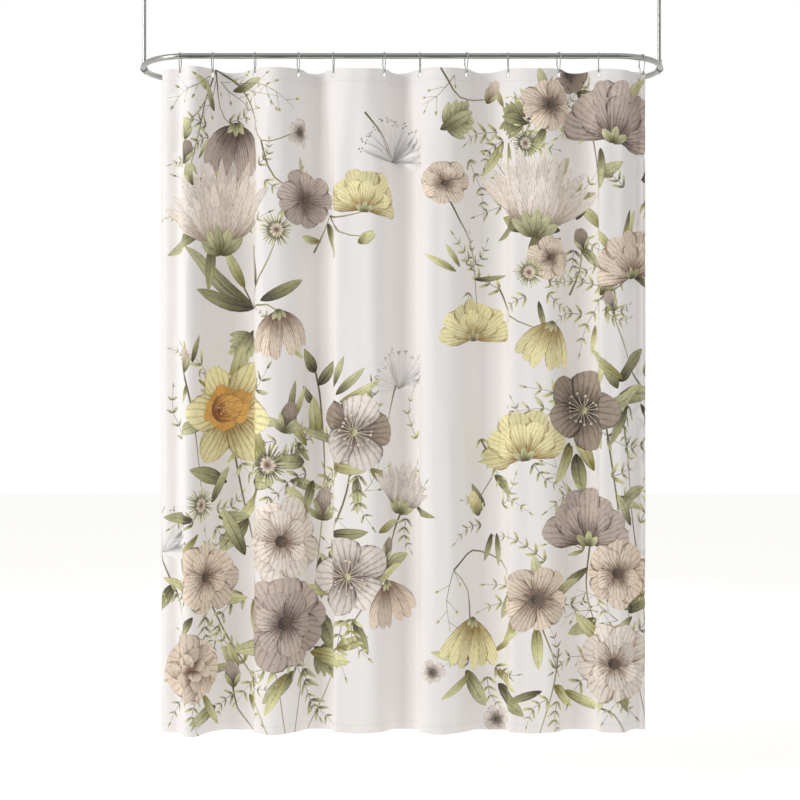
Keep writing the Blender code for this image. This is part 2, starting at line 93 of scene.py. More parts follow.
HOOK_X = [hook_centre(name).x for name in HOOK_NODES]
HOOK_Y = [hook_centre(name).y for name in HOOK_NODES]


def linear(code):
    """The linear colour of an sRGB hex code such as "#C0FFEE"."""
    levels = [int(code[k : k + 2], 16) / 255 for k in (1, 3, 5)]
    return tuple(c / 12.92 if c <= 0.04045 else ((c + 0.055) / 1.055) ** 2.4 for c in levels)


def length_property(name, description, default):
    return FloatProperty(name=name, description=description, default=default, min=0.0, unit="LENGTH")


def colour_property(name, description, code):
    return FloatVectorProperty(
        name=name, description=description, default=linear(code), size=3, min=0, max=1, subtype="COLOR"
    )


# ---------------------------------------------------------------- settings


class CurtainCloth(bpy.types.PropertyGroup):
    """Sizes of the flat cloth and how it hangs."""

    width: length_property("Width", "Flat width from side edge to side edge", 1.829)
    height: length_property("Height", "Flat height from top edge to hem", PANEL_HIGH.z - PANEL_LOW.z)
    thickness: length_property("Thickness", "Thickness of one layer", 0.0004)
    header: length_property("Header", "Depth of the turned-in top hem", PANEL_HIGH.z - HEADER_LOW.z)
    hem: length_property("Hem", "Depth of the turned-in bottom hem", HEM_HIGH.z - PANEL_LOW.z)
    side_hem: length_property("Side hem", "Width of the turned-in side hems", 0.012)
    hole_pitch: length_property("Buttonhole spacing", "From one buttonhole to the next", 0.1524)
    slot_width: length_property("Buttonhole width", "Width of the cut slot", 0.0076)
    slot_height: length_property("Buttonhole height", "Height of the cut slot", 0.014)
    slot_top: length_property("Buttonhole top", "Top edge to the slot", 0.008)
    sag: length_property("Sag", "How far the top edge drops between two hooks", 0.003)
    column: length_property("Column", "Width of a cloth column in the mesh", 0.009)
    ground: colour_property("Ground", "White of the unprinted cloth", "#F3EFED")
    thread: colour_property("Thread", "Sewing thread", "#EDE9E4")


class CurtainPrint(bpy.types.PropertyGroup):
    """Inks of the flowers, each the deeper shade that its washes start from."""

    mauve: colour_property("Mauve", "Shaded side of the mauve petals", "#553F32")
    mauve_wash: colour_property("Mauve wash", "Open side of the mauve petals", "#CDBCB0")
    taupe: colour_property("Taupe", "Shaded side of the darkest petals", "#35281C")
    taupe_wash: colour_property("Taupe wash", "Open side of the darkest petals", "#AB9A88")
    beige: colour_property("Beige", "Shaded side of the beige petals", "#744C30")
    beige_wash: colour_property("Beige wash", "Open side of the beige petals", "#EEDCC8")
    cream: colour_property("Cream", "Shaded side of the cream petals", "#94714F")
    cream_wash: colour_property("Cream wash", "Open side of the cream petals", "#F5ECE0")
    pearl: colour_property("Pearl", "Shaded side of the palest petals", "#6E5A4B")
    pearl_wash: colour_property("Pearl wash", "Open side of the palest petals", "#EBE2DA")
    yellow: colour_property("Yellow", "Shaded side of the yellow petals", "#96752C")
    yellow_wash: colour_property("Yellow wash", "Open side of the yellow petals", "#F4EBB6")
    amber: colour_property("Amber", "Shaded side of the trumpets", "#84480F")
    amber_wash: colour_property("Amber wash", "Open side of the trumpets", "#E0AC55")
    sage: colour_property("Sage", "Shaded side of the leaves", "#625A30")
    sage_wash: colour_property("Sage wash", "Open side of the leaves", "#D3D2A4")
    olive: colour_property("Olive", "Shaded side of the dark leaves", "#453E22")
    olive_wash: colour_property("Olive wash", "Open side of the dark leaves", "#B0AE7E")
    sprig: colour_property("Sprig", "Shaded side of the young sprigs", "#8F8540")
    sprig_wash: colour_property("Sprig wash", "Open side of the young sprigs", "#E2E0AC")
    stem: colour_property("Stem", "Stems", "#6A5F3A")
    stem_wash: colour_property("Stem wash", "Lit side of the stems", "#A39B6E")
    umber: colour_property("Umber", "Eyes of the flowers", "#2A1D12")
    umber_wash: colour_property("Umber wash", "Rim of the eyes", "#66503B")
    pollen: colour_property("Pollen", "Pale stamens", "#D8C9A6")
    pollen_wash: colour_property("Pollen wash", "Tips of the pale stamens", "#F0E8D2")
    depth: FloatProperty(name="Depth", description="Strength of the inks", default=1.0, min=0, max=1)
    strike: FloatProperty(
        name="Strike-through", description="Share of the ink that shows behind", default=0.35, min=0, max=1
    )


class CurtainHooks(bpy.types.PropertyGroup):
    """Sizes of a wire hook."""

    wire: length_property("Wire", "Diameter of the spring wire", 0.0025)
    crown: length_property("Crown", "Radius of the bend over the rail", 0.0125)
    foot: length_property("Foot", "Radius of the bend through the cloth", 0.0055)
    drop: length_property("Drop", "Rail centre to the underside of the foot", 0.0475)
    play: length_property("Play", "Between the crown and the rail", 0.0007)
    steel: colour_property("Wire steel", "Drawn spring wire", "#AEAEAC")


class CurtainRail(bpy.types.PropertyGroup):
    """Sizes of the ring rail and of what holds it up."""

    bend: length_property("Bend", "Length of the ring that each rounded end takes", 0.152)
    wall: length_property("Wall", "Wall of the rail tube", 0.0012)
    sleeve_wall: length_property("Sleeve wall", "Wall of the end fitting's sleeve", 0.0024)
    sleeve_length: length_property("Sleeve length", "Length of the end fitting's sleeve", 0.034)
    socket_wall: length_property("Socket wall", "Wall of the end fitting's socket", 0.0022)
    neck_wall: length_property("Neck wall", "Wall of the flange's neck", 0.0045)
    screw_circle: length_property("Screw circle", "Radius that the flange screws stand on", 0.0225)
    screws: IntProperty(name="Screws", description="Screws in each flange", default=3, min=1)
    steel: colour_property("Steel", "Brushed stainless steel", "#ADABA6")
    zinc: colour_property("Zinc", "Zinc-plated screws", "#B4B6BA")


class CurtainStage(bpy.types.PropertyGroup):
    """Floor, light and camera."""

    rail_height: length_property("Rail height", "Rail above the floor", 2.04)
    floor: colour_property("Floor", "Pale studio floor", "#F7F6F4")
    key: FloatProperty(name="Key light", description="Power of the soft key light", default=125, unit="POWER")
    fill: FloatProperty(name="Fill light", description="Power of the fill light", default=14, unit="POWER")
    sky: FloatProperty(name="Sky", description="Strength of the white surround", default=0.34, min=0)
    lens: FloatProperty(name="Lens", description="Focal length", default=71.7, unit="CAMERA")


def settings(name):
    return getattr(bpy.context.scene, name)


# ---------------------------------------------------------------- materials


def node(tree, kind, inputs=(), **values):
    """A node with its settings, and with its inputs linked or set by name or place."""
    made = tree.nodes.new(kind)
    for name, value in values.items():
        setattr(made, name, value)
    for key, value in dict(inputs).items():
        if isinstance(value, bpy.types.NodeSocket):
            tree.links.new(value, made.inputs[key])
        else:
            made.inputs[key].default_value = value
    return made


def new_material(name):
    made = bpy.data.materials.new(name)
    made.use_nodes = True
    return made, made.node_tree, made.node_tree.nodes["Principled BSDF"]


def maths(tree, operation, *values, clamp=False):
    """One arithmetic step on sockets and numbers."""
    step = node(tree, "ShaderNodeMath", dict(enumerate(values)), operation=operation, use_clamp=clamp)
    return step.outputs[0]


def blend(tree, share, a, b, way="MIX"):
    """Two colours mixed by a share."""
    made = node(tree, "ShaderNodeMix", data_type="RGBA", blend_type=way)
    for place, value in ((0, share), (6, a), (7, b)):
        if isinstance(value, bpy.types.NodeSocket):
            tree.links.new(value, made.inputs[place])
        else:
            made.inputs[place].default_value = value
    return made.outputs[2]


def ramp(tree, value, low, high, start=0.0, end=1.0):
    """A value eased from one range to another."""
    made = node(
        tree,
        "ShaderNodeMapRange",
        {"Value": value, "From Min": low, "From Max": high, "To Min": start, "To Max": end},
        interpolation_type="SMOOTHSTEP",
    )
    return made.outputs["Result"]


def noise(tree, vector, scale, detail=2.0, roughness=0.5):
    made = node(
        tree,
        "ShaderNodeTexNoise",
        {"Vector": vector, "Scale": scale, "Detail": detail, "Roughness": roughness},
    )
    return made.outputs["Fac"]


def scaled(tree, vector, sizes):
    """A vector measured in steps of these sizes in metres."""
    steps = [1 / size if size else 0.0 for size in sizes]
    return node(tree, "ShaderNodeVectorMath", {0: vector, 1: steps}, operation="MULTIPLY").outputs[0]


def weave_bump(tree, flat, shader, seams=None):
    """Plain weave of fine polyester: threads over and under, and a few slubs.

    The threads are drawn 0.7 mm apart, so that the cloth shows a tooth.
    """
    thread = 0.0007
    turned = node(tree, "ShaderNodeSeparateXYZ", {0: scaled(tree, flat, (thread, thread, 1))})
    warp = maths(tree, "SINE", maths(tree, "MULTIPLY", turned.outputs[0], 2 * math.pi))
    weft = maths(tree, "SINE", maths(tree, "MULTIPLY", turned.outputs[1], 2 * math.pi))
    cross = maths(tree, "MULTIPLY", warp, weft)
    slub = noise(tree, scaled(tree, flat, (0.03, 0.0015, 1)), 1.0, 2.0)
    height = maths(tree, "MULTIPLY_ADD", slub, 1.5, cross)
    if seams is not None:
        height = maths(tree, "MULTIPLY_ADD", seams, -6.0, height)
    bump = node(tree, "ShaderNodeBump", {"Strength": 0.35, "Distance": 0.00005, "Height": height})
    tree.links.new(bump.outputs[0], shader.inputs["Normal"])


def seam_lines(tree, flat, lines):
    """Where the cloth is drawn in along its seams: 1 on a line of (axis, place), 0 away from it."""
    parts = node(tree, "ShaderNodeSeparateXYZ", {0: flat})
    total = None
    for axis, place in lines:
        away = maths(tree, "ABSOLUTE", maths(tree, "SUBTRACT", parts.outputs[axis], place))
        near = ramp(tree, away, 0.0004, 0.0022, 1.0, 0.0)
        total = near if total is None else maths(tree, "MAXIMUM", total, near)
    return total


def printed_polyester(cloth, ink):
    """Matt woven polyester with a watercolour print: washes that pool at petal edges, thin veins."""
    made, tree, shader = new_material("printed_polyester")
    shader.inputs["Roughness"].default_value = 0.82
    shader.inputs["Specular IOR Level"].default_value = 0.25
    shader.inputs["Sheen Weight"].default_value = 0.05
    flat = node(tree, "ShaderNodeUVMap", uv_map="flat").outputs[0]
    petal = node(tree, "ShaderNodeUVMap", uv_map="petal").outputs[0]
    deep = node(tree, "ShaderNodeAttribute", attribute_name="ink")
    open_side = node(tree, "ShaderNodeAttribute", attribute_name="wash")
    form = node(tree, "ShaderNodeAttribute", attribute_name="form")
    parts = node(tree, "ShaderNodeSeparateXYZ", {0: petal})
    along, across = parts.outputs[0], maths(tree, "ABSOLUTE", parts.outputs[1])
    shape = node(tree, "ShaderNodeSeparateXYZ", {0: form.outputs["Vector"]})
    fullness, point, seed = shape.outputs
    moved = node(tree, "ShaderNodeCombineXYZ", {0: seed, 1: seed, 2: 0.0}).outputs[0]
    loose = node(tree, "ShaderNodeVectorMath", {0: petal, 1: moved}, operation="ADD").outputs[0]

    # how far across the petal, 0 on its middle line and 1 on its edge
    inside = maths(tree, "POWER", maths(tree, "MAXIMUM", along, 0.001), fullness)
    arch = maths(tree, "MULTIPLY", inside, maths(tree, "SUBTRACT", 1.0, inside))
    half = maths(tree, "POWER", maths(tree, "MAXIMUM", maths(tree, "MULTIPLY", arch, 4.0), 0.0001), point)
    side = maths(tree, "DIVIDE", across, maths(tree, "MAXIMUM", half, 0.04), clamp=True)
    edge = ramp(tree, side, 0.72, 1.0)
    outline = ramp(tree, side, 0.90, 0.99)

    # petal veins fan out from the base, leaf veins slant off the midrib
    wobble = noise(tree, loose, 2.2, 2.0)
    fan = maths(tree, "DIVIDE", parts.outputs[1], maths(tree, "ADD", maths(tree, "ABSOLUTE", along), 0.30))
    fan = maths(tree, "MULTIPLY_ADD", wobble, 0.9, maths(tree, "MULTIPLY", fan, 3.0))
    fan_line = maths(tree, "PINGPONG", fan, 0.5)
    petal_vein = ramp(tree, fan_line, 0.0, 0.24, 1.0, 0.0)
    slant = maths(tree, "MULTIPLY_ADD", across, -3.0, maths(tree, "MULTIPLY", along, 11.0))
    leaf_vein = ramp(tree, maths(tree, "PINGPONG", slant, 0.5), 0.0, 0.20, 0.6, 0.0)
    midrib = ramp(tree, across, 0.03, 0.14, 1.0, 0.0)
    leafy = open_side.outputs["Alpha"]
    vein = blend(tree, leafy, petal_vein, maths(tree, "MAXIMUM", leaf_vein, midrib))
    fade = ramp(tree, along, 0.98, 0.15)

    # the wash runs from the deep ink at the base to the open side, unevenly
    pool = noise(tree, loose, 3.1, 4.0, 0.62)
    reach = maths(tree, "MULTIPLY_ADD", pool, 0.55, maths(tree, "SUBTRACT", along, 0.26))
    wash = ramp(tree, reach, 0.04, 0.74)
    colour = blend(tree, wash, deep.outputs["Color"], open_side.outputs["Color"])
    shade = maths(tree, "MULTIPLY", vein, maths(tree, "MULTIPLY_ADD", fade, 0.50, 0.30))
    shade = maths(tree, "MULTIPLY_ADD", edge, 0.26, shade)
    shade = maths(tree, "MULTIPLY_ADD", outline, 0.42, shade)
    lee = maths(tree, "MULTIPLY", leafy, ramp(tree, parts.outputs[1], -0.1, 0.5))
    shade = maths(tree, "MULTIPLY_ADD", lee, 0.20, shade)
    cloud = noise(tree, scaled(tree, flat, (0.012, 0.012, 1)), 1.0, 4.0, 0.6)
    shade = maths(tree, "MULTIPLY_ADD", maths(tree, "SUBTRACT", cloud, 0.5), 0.9, shade)
    dark = blend(tree, 1.0, colour, deep.outputs["Color"], "MULTIPLY")
    colour = blend(tree, maths(tree, "MULTIPLY_ADD", shade, 0.9, 0.02, clamp=True), colour, dark)

    # ink lies thinner where the brush lifts
    grain = noise(tree, scaled(tree, flat, (0.0016, 0.0016, 1)), 1.0, 2.0)
    lift = maths(tree, "MULTIPLY_ADD", grain, -0.12, 1.06, clamp=True)
    thin = maths(tree, "MULTIPLY_ADD", maths(tree, "SUBTRACT", pool, 0.5), -0.30, 1.0, clamp=True)
    cover = maths(tree, "MULTIPLY", deep.outputs["Alpha"], maths(tree, "MULTIPLY", lift, thin))
    tint = noise(tree, scaled(tree, flat, (0.25, 0.5, 1)), 1.0, 3.0)
    soft = blend(tree, tint, (*cloth.ground, 1), (*[c * 0.965 for c in cloth.ground], 1))
    # painted shade: along the seam lines the white ground is drawn a tenth of the way to a dark grey, as
    # shade in the drawn-in grooves; the same lines also sink the bump
    seam = seam_lines(
        tree,
        flat,
        [(1, cloth.header - 0.003), (1, cloth.height - cloth.hem + 0.003)]
        + [(0, cloth.side_hem - 0.002), (0, cloth.width - cloth.side_hem + 0.002)],
    )
    soft = blend(tree, maths(tree, "MULTIPLY", seam, 0.10), soft, (0.45, 0.42, 0.40, 1))
    final = blend(tree, maths(tree, "MULTIPLY", cover, ink.depth), soft, colour)
    tree.links.new(final, shader.inputs["Base Color"])
    weave_bump(tree, flat, shader, seam)
    return made


def plain_polyester(cloth):
    """The same matt cloth where no print shows: the turned-in side of the hems."""
    made, tree, shader = new_material("polyester_hem")
    shader.inputs["Roughness"].default_value = 0.82
    shader.inputs["Specular IOR Level"].default_value = 0.25
    shader.inputs["Sheen Weight"].default_value = 0.05
    flat = node(tree, "ShaderNodeUVMap", uv_map="flat").outputs[0]
    tint = noise(tree, scaled(tree, flat, (0.06, 0.06, 1)), 1.0, 3.0)
    soft = blend(tree, tint, (*cloth.ground, 1), (*[c * 0.95 for c in cloth.ground], 1))
    tree.links.new(soft, shader.inputs["Base Color"])
    weave_bump(tree, flat, shader)
    return made


def sewing_thread(cloth):
    """Spun polyester thread: matt, with the twist of its two plies."""
    made, tree, shader = new_material("polyester_thread")
    shader.inputs["Roughness"].default_value = 0.75
    place = node(tree, "ShaderNodeTexCoord").outputs["Object"]
    twist = noise(tree, scaled(tree, place, (0.0006, 0.0006, 0.0006)), 1.0, 1.0)
    colour = blend(tree, twist, (*[c * 0.86 for c in cloth.thread], 1), (*cloth.thread, 1))
    tree.links.new(colour, shader.inputs["Base Color"])
    bump = node(tree, "ShaderNodeBump", {"Strength": 0.4, "Distance": 0.0001, "Height": twist})
    tree.links.new(bump.outputs[0], shader.inputs["Normal"])
    return made


def drawn_metal(name, colour, roughness, streak, depth):
    """Metal with fine marks that run along the piece, as brushing or drawing leaves them.

    The marks give the gloss a long soft smear across them. They read the piece's own map, which is
    in metres: along it and round it. A mark is about 30 mm long and as wide as streak says.
    """
    made, tree, shader = new_material(name)
    shader.inputs["Metallic"].default_value = 1.0
    own = node(tree, "ShaderNodeUVMap", uv_map="flat").outputs[0]
    marks = noise(tree, scaled(tree, own, (0.030, streak, 1)), 1.0, 3.0, 0.6)
    smudge = noise(tree, scaled(tree, own, (0.09, 0.03, 1)), 1.0, 3.0)
    shade = blend(tree, marks, (*[c * 0.82 for c in colour], 1), (*colour, 1))
    tree.links.new(shade, shader.inputs["Base Color"])
    rough = maths(tree, "MULTIPLY_ADD", smudge, 0.12, roughness - 0.06)
    rough = maths(tree, "MULTIPLY_ADD", marks, 0.08, rough)
    tree.links.new(rough, shader.inputs["Roughness"])
    bump = node(tree, "ShaderNodeBump", {"Strength": depth, "Distance": 0.00002, "Height": marks})
    tree.links.new(bump.outputs[0], shader.inputs["Normal"])
    return made


# ---------------------------------------------------------------- folds


class Folds:
    """How the flat cloth hangs: for each level down it, a line through the twelve hooks.

    The line passes each hook the way the cloth is turned there. Its folds go forward between hooks 1
    and 2, 3 and 4 and so on, backward between the others, and as deep as the cloth between them makes
    them, so the cloth keeps its flat width at every level.
    """

    crest_at = (0.44, 0.30)  # where a forward fold's crest is in its space, at the top and below
    valley_at = (0.40, 0.45)
    rising = (-45.0, -97.0)  # degrees that the cloth runs at hooks 1, 3, 5, ..., top and below
    falling = (38.0, 44.0)  # at hooks 2, 4, 6, ...
    first = (-42.0, -30.0)
    last = (-8.0, -25.0)
    first_drift = (0.0, -0.020)
    small_fold = 0.70
    settled = 0.30  # from the header to this level the folds open out
    sway = 0.035  # how far a crest wanders in its space on the way down
    steps = 22  # points between two knots of the line
    step = 0.002  # spacing of the worked-out places across the cloth

    def __init__(self, cloth):
        self.cloth = cloth
        self.margin = (cloth.width - cloth.hole_pitch * (len(HOOK_X) - 1)) / 2
        edge = 0.06
        fine = np.arange(0, edge, 0.005)
        coarse = np.linspace(edge, cloth.height - edge, 56)
        self.levels = np.concatenate([fine, coarse, cloth.height - fine[::-1]])
        self.levels[-1] = cloth.height
        self.across = np.linspace(0, cloth.width, round(cloth.width / self.step) + 1)
        self.hook_u = [self.margin + cloth.hole_pitch * k for k in range(len(HOOK_X))]
        plan = np.array([self.line_at(level) for level in self.levels])
        self.place = self.dressed(plan)
        along = np.gradient(self.place, axis=1)
        down = np.gradient(self.place, axis=0)
        front = np.cross(along, -down)
        front /= np.linalg.norm(front, axis=2, keepdims=True)
        front[front[..., 1].mean(axis=1) > 0] *= -1
        self.front = front

    def settle(self, pair, level):
        share = min(max((level - self.cloth.header) / (self.settled - self.cloth.header), 0.0), 1.0)
        return pair[0] + (pair[1] - pair[0]) * share * share * (3 - 2 * share)

    def hook_knot(self, index, level):
        back = HOOK_Y[index] - RAIL_Y
        turns = {0: self.first, len(HOOK_X) - 1: self.last}
        turn = self.settle(turns.get(index, self.rising if index % 2 == 0 else self.falling), level)
        drift = self.settle(self.first_drift, level) if index == 0 else 0.0
        return np.array([HOOK_X[index], back + drift]), turn

    def smooth(self, knots):
        """A smooth line through knots, each with the degrees that the line runs at there."""
        t = np.linspace(0, 1, self.steps + 1)[1:, None]
        line = [knots[0][0][None]]
        for (a, turn_a), (b, turn_b) in zip(knots, knots[1:]):
            reach = 1.15 * np.linalg.norm(b - a)
            ways = [
                np.array([math.cos(math.radians(turn)), math.sin(math.radians(turn))]) * reach
                for turn in (turn_a, turn_b)
            ]
            line.append(
                a * (2 * t**3 - 3 * t**2 + 1)
                + ways[0] * (t**3 - 2 * t**2 + t)
                + b * (3 * t**2 - 2 * t**3)
                + ways[1] * (t**3 - t**2)
            )
        return np.concatenate(line)

    def knots(self, index, depth, level):
        """Knots of the fold between a hook and the next, for a fold this deep."""
        start, end = self.hook_knot(index, level), self.hook_knot(index + 1, level)
        span = end[0] - start[0]
        if index == len(HOOK_X) - 2:
            crest = start[0] + span * 0.44 - (0, depth)
            waist = start[0] + span * 0.72 + (0, depth * 0.1)
            valley = start[0] + span * 0.88 + (0, depth * self.small_fold)
            return [start, (crest, 0.0), (waist, 62.0), (valley, 10.0), end]
        forward = index % 2 == 0
        share = self.settle(self.crest_at if forward else self.valley_at, level)
        down = level / self.cloth.height
        share += self.sway * down * math.sin(2.3 * index + 2.6 * down)
        middle = start[0] + span * share + (0, -depth if forward else depth)
        return [start, (middle, 0.0), end]

    def space(self, index, level):
        """The line between two hooks, as deep as the cloth there makes it."""
        shallow, deep = 0.0, self.cloth.hole_pitch
        for _ in range(16):
            middle = (shallow + deep) / 2
            line = self.smooth(self.knots(index, middle, level))
            if np.linalg.norm(np.diff(line, axis=0), axis=1).sum() < self.cloth.hole_pitch:
                shallow = middle
            else:
                deep = middle
        return line

    def side(self, index, level):
        """The cloth outside an end hook, from the hook outwards."""
        place, turn = self.hook_knot(index, level)
        if index == 0:
            bulge, edge = place + (-0.036, 0.002), place + (-0.054, 0.038)
            return self.smooth([(place, 150.0), (bulge, 160.0), (edge, 96.0)])
        corner, edge = place + (0.0105, 0.012), place + (-0.004, 0.076)
        return self.smooth([(place, turn), (corner, 88.0), (edge, 100.0)])

    def line_at(self, level):
        """Where each place across the cloth lies in plan at a level."""
        lines = [self.side(0, level)[::-1]]
        lengths = [self.margin]
        for index in range(len(HOOK_X) - 1):
            lines.append(self.space(index, level)[1:])
            lengths.append(self.cloth.hole_pitch)
        lines.append(self.side(len(HOOK_X) - 1, level)[1:])
        lengths.append(self.margin)
        found, start = [], 0.0
        for line, length in zip(lines, lengths):
            run = np.vstack([found[-1][1][-1], line]) if found else line
            travelled = np.concatenate([[0], np.cumsum(np.linalg.norm(np.diff(run, axis=0), axis=1))])
            found.append((start + travelled * (length / travelled[-1]), run))
            start += length
        u = np.concatenate([f[0] for f in found])
        p = np.concatenate([f[1] for f in found])
        return np.stack([np.interp(self.across, u, p[:, k]) for k in (0, 1)], axis=1)

    def dressed(self, plan):
        """The hanging cloth's places: with sag, soft creases, and drawn-in seams and buttonholes."""
        cloth = self.cloth
        u, v = self.across[None, :], self.levels[:, None]
        along = np.gradient(plan, axis=1)
        along /= np.linalg.norm(along, axis=2, keepdims=True)
        out = np.stack([along[..., 1], -along[..., 0]], axis=2)
        spaces = (u - self.hook_u[0]) / cloth.hole_pitch
        sag = cloth.sag * np.sin(np.pi * np.clip(spaces, 0, len(HOOK_X) - 1)) ** 2
        crease = 0.0007 * np.sin(u / 0.0085 + 2.2 * np.sin(v / 0.31)) * np.sin(u / 0.071 + v / 0.23)
        crease += 0.0009 * np.sin(u / 0.019 - v / 0.42 + 1.3) * np.sin(u / 0.13 - v / 0.37)
        gather = sum(np.exp(-(((u - hook) / 0.013) ** 2)) for hook in self.hook_u)
        crease += 0.0012 * gather * np.exp(-v / 0.05)
        seam = np.exp(-(((v - cloth.height + cloth.hem) / 0.010) ** 2))
        crease += 0.0005 * seam * np.sin(u / 0.0042 + 1.7 * np.sin(u / 0.05))
        flare = np.exp(-((cloth.height - v) / 0.05)) * 0.0012 * np.sin(u / 0.012 + 0.8)
        moved = plan + out * (crease + flare)[..., None]
        z = PANEL_HIGH.z - v - sag
        return np.stack([moved[..., 0], moved[..., 1] + RAIL_Y, np.broadcast_to(z, plan.shape[:2])], axis=2)

    def hang(self, flat, offset=0.0):
        """Places and front directions of flat (u, v) points, this far out of the cloth's middle."""
        u, v = flat[:, 0], flat[:, 1]
        c = np.clip(u / self.cloth.width * (len(self.across) - 1), 0, len(self.across) - 1.000001)
        row = np.clip(np.interp(v, self.levels, np.arange(len(self.levels))), 0, len(self.levels) - 1.000001)
        i, j = c.astype(int), row.astype(int)
        a, b = (c - i)[:, None], (row - j)[:, None]

        def mixed(grid):
            top = grid[j, i] * (1 - a) + grid[j, i + 1] * a
            return top * (1 - b) + (grid[j + 1, i] * (1 - a) + grid[j + 1, i + 1] * a) * b

        front = mixed(self.front)
        front /= np.linalg.norm(front, axis=1, keepdims=True)
        out = np.broadcast_to(np.asarray(offset, float), (len(flat),))
        place = mixed(self.place) + front * out[:, None]
        place[:, 2] -= np.maximum(v - self.cloth.height, 0) + np.minimum(v, 0)
        return place, front


# ---------------------------------------------------------------- meshes


def add_piece(name, points, faces, finish, smooth=True):
    """A piece of the visual model, with its place in its mesh."""
    mesh = bpy.data.meshes.new(name)
    mesh.from_pydata(np.asarray(points).tolist(), [], [list(map(int, face)) for face in faces])
    made = bpy.data.objects.new(name, mesh)
    bpy.context.scene.collection.objects.link(made)
    if smooth:
        mesh.shade_smooth()
    if finish:
        mesh.materials.append(finish)
    return made


def two_sided(name, folds, flat, faces, middle, thickness, finish, corners):
    """A thin closed sheet from flat faces: front, back and a rim round every edge.

    middle is how far the sheet's middle stands out of the cloth's. corners holds each attribute's
    values for the corners of the flat faces, as (front, back).
    """
    count, faces = len(flat), np.asarray(faces)
    middle = np.broadcast_to(np.asarray(middle, float), (count,))
    layers = [folds.hang(flat, middle + side * thickness / 2) for side in (1, -1)]
    around = faces.shape[1]
    edges = {}
    for face in faces.tolist():
        for k in range(around):
            a, b = face[k], face[(k + 1) % around]
            edges[a, b] = edges.get((a, b), 0) + 1
    rim = [(a, b) for a, b in edges if (b, a) not in edges]
    walls = [(a, a + count, b + count, b) for a, b in rim]
    back = faces[:, ::-1] + count
    points = np.concatenate([layer[0] for layer in layers])
    made = add_piece(name, points, [*faces.tolist(), *back.tolist(), *walls], finish)
    mesh = made.data
    for key, (kind, front_values, back_values) in corners.items():
        width = front_values.shape[-1]
        walls_values = np.zeros((len(walls), 4, width))
        if kind == "UV" and key == "flat":
            for k, (a, b) in enumerate(rim):
                walls_values[k] = [flat[a], flat[a], flat[b], flat[b]]
        all_values = np.concatenate(
            [
                front_values.reshape(-1, width),
                back_values.reshape(len(faces), around, width)[:, ::-1].reshape(-1, width),
                walls_values.reshape(-1, width),
            ]
        )
        if kind == "UV":
            layer = mesh.uv_layers.new(name=key)
            layer.uv.foreach_set("vector", all_values.astype(np.float32).ravel())
        else:
            layer = mesh.attributes.new(key, kind, "CORNER")
            field = "color" if kind == "FLOAT_COLOR" else "vector"
            layer.data.foreach_set(field, all_values.astype(np.float32).ravel())
    normals = np.concatenate([layers[0][1], -layers[1][1]])
    mesh.normals_split_custom_set_from_vertices(normals.tolist())
    return made


def strip(name, folds, columns, rows, offsets, thickness, finish, holes=()):
    """A hem: a grid of flat columns and rows, turned over the cloth's edge by its offsets."""
    columns, rows = np.asarray(columns), np.asarray(rows)
    flat = np.array([(u, v) for v in rows for u in columns])
    middle = np.array(offsets(flat[:, 0], flat[:, 1]))
    wide = len(columns)
    faces = []
    for r in range(len(rows) - 1):
        for c in range(wide - 1):
            u, v = (columns[c] + columns[c + 1]) / 2, (rows[r] + rows[r + 1]) / 2
            if not any(a < u < b and lo < v < hi for a, b, lo, hi in holes):
                k = r * wide + c
                faces.append((k, k + wide, k + wide + 1, k + 1))
    used = sorted({i for face in faces for i in face})
    new = {old: k for k, old in enumerate(used)}
    faces = np.array([[new[i] for i in face] for face in faces])
    flat, middle = flat[used], middle[used]
    value = flat[faces]
    return two_sided(name, folds, flat, faces, middle, thickness, finish, {"flat": ("UV", value, value)})


def sweep(path, radius, sides, closed_ends=True):
    """Rings of a round rod along a path, its faces, and for each corner its way along and round it."""
    path = np.asarray(path, float)
    way = np.gradient(path, axis=0)
    way /= np.linalg.norm(way, axis=1, keepdims=True)
    up = np.array([0.0, 0.0, 1.0]) if abs(way[0][2]) < 0.9 else np.array([1.0, 0.0, 0.0])
    travelled = np.concatenate([[0], np.cumsum(np.linalg.norm(np.diff(path, axis=0), axis=1))])
    turn = 2 * math.pi * np.arange(sides) / sides
    rings = []
    side = np.cross(way[0], up)
    for k, direction in enumerate(way):
        side = side - direction * side.dot(direction)
        side /= np.linalg.norm(side)
        over = np.cross(direction, side)
        ring = np.cos(turn)[:, None] * side + np.sin(turn)[:, None] * over
        size = radius[k] if hasattr(radius, "__len__") else radius
        rings.append(path[k] + ring * size)
    faces, marks = [], []
    for k in range(len(path) - 1):
        for s in range(sides):
            t = (s + 1) % sides
            faces.append((k * sides + s, k * sides + t, (k + 1) * sides + t, (k + 1) * sides + s))
            size = radius[k] if hasattr(radius, "__len__") else radius
            girth = [2 * math.pi * size * q / sides for q in (s, s + 1)]
            near, far = travelled[k], travelled[k + 1]
            marks += [(near, girth[0]), (near, girth[1]), (far, girth[1]), (far, girth[0])]
    if closed_ends:
        faces.append(tuple(reversed(range(sides))))
        faces.append(tuple(range((len(path) - 1) * sides, len(path) * sides)))
        marks += [(0.0, 0.0)] * (2 * sides)
    return np.concatenate(rings), faces, marks


def pipe(path, outer, inner, sides):
    """An open tube along a path: outside, inside and two ring-shaped ends."""
    shell, faces, marks = sweep(path, outer, sides, closed_ends=False)
    bore, inside, inner_marks = sweep(path, inner, sides, closed_ends=False)
    first = len(shell)
    faces = faces + [tuple(first + i for i in reversed(face)) for face in inside]
    marks = marks + [mark for k in range(0, len(inner_marks), 4) for mark in inner_marks[k : k + 4][::-1]]
    last = (len(path) - 1) * sides
    for s in range(sides):
        t = (s + 1) % sides
        faces.append((first + s, first + t, t, s))
        faces.append((last + s, last + t, first + last + t, first + last + s))
        marks += [(0.0, 0.0)] * 8
    return np.concatenate([shell, bore]), faces, marks


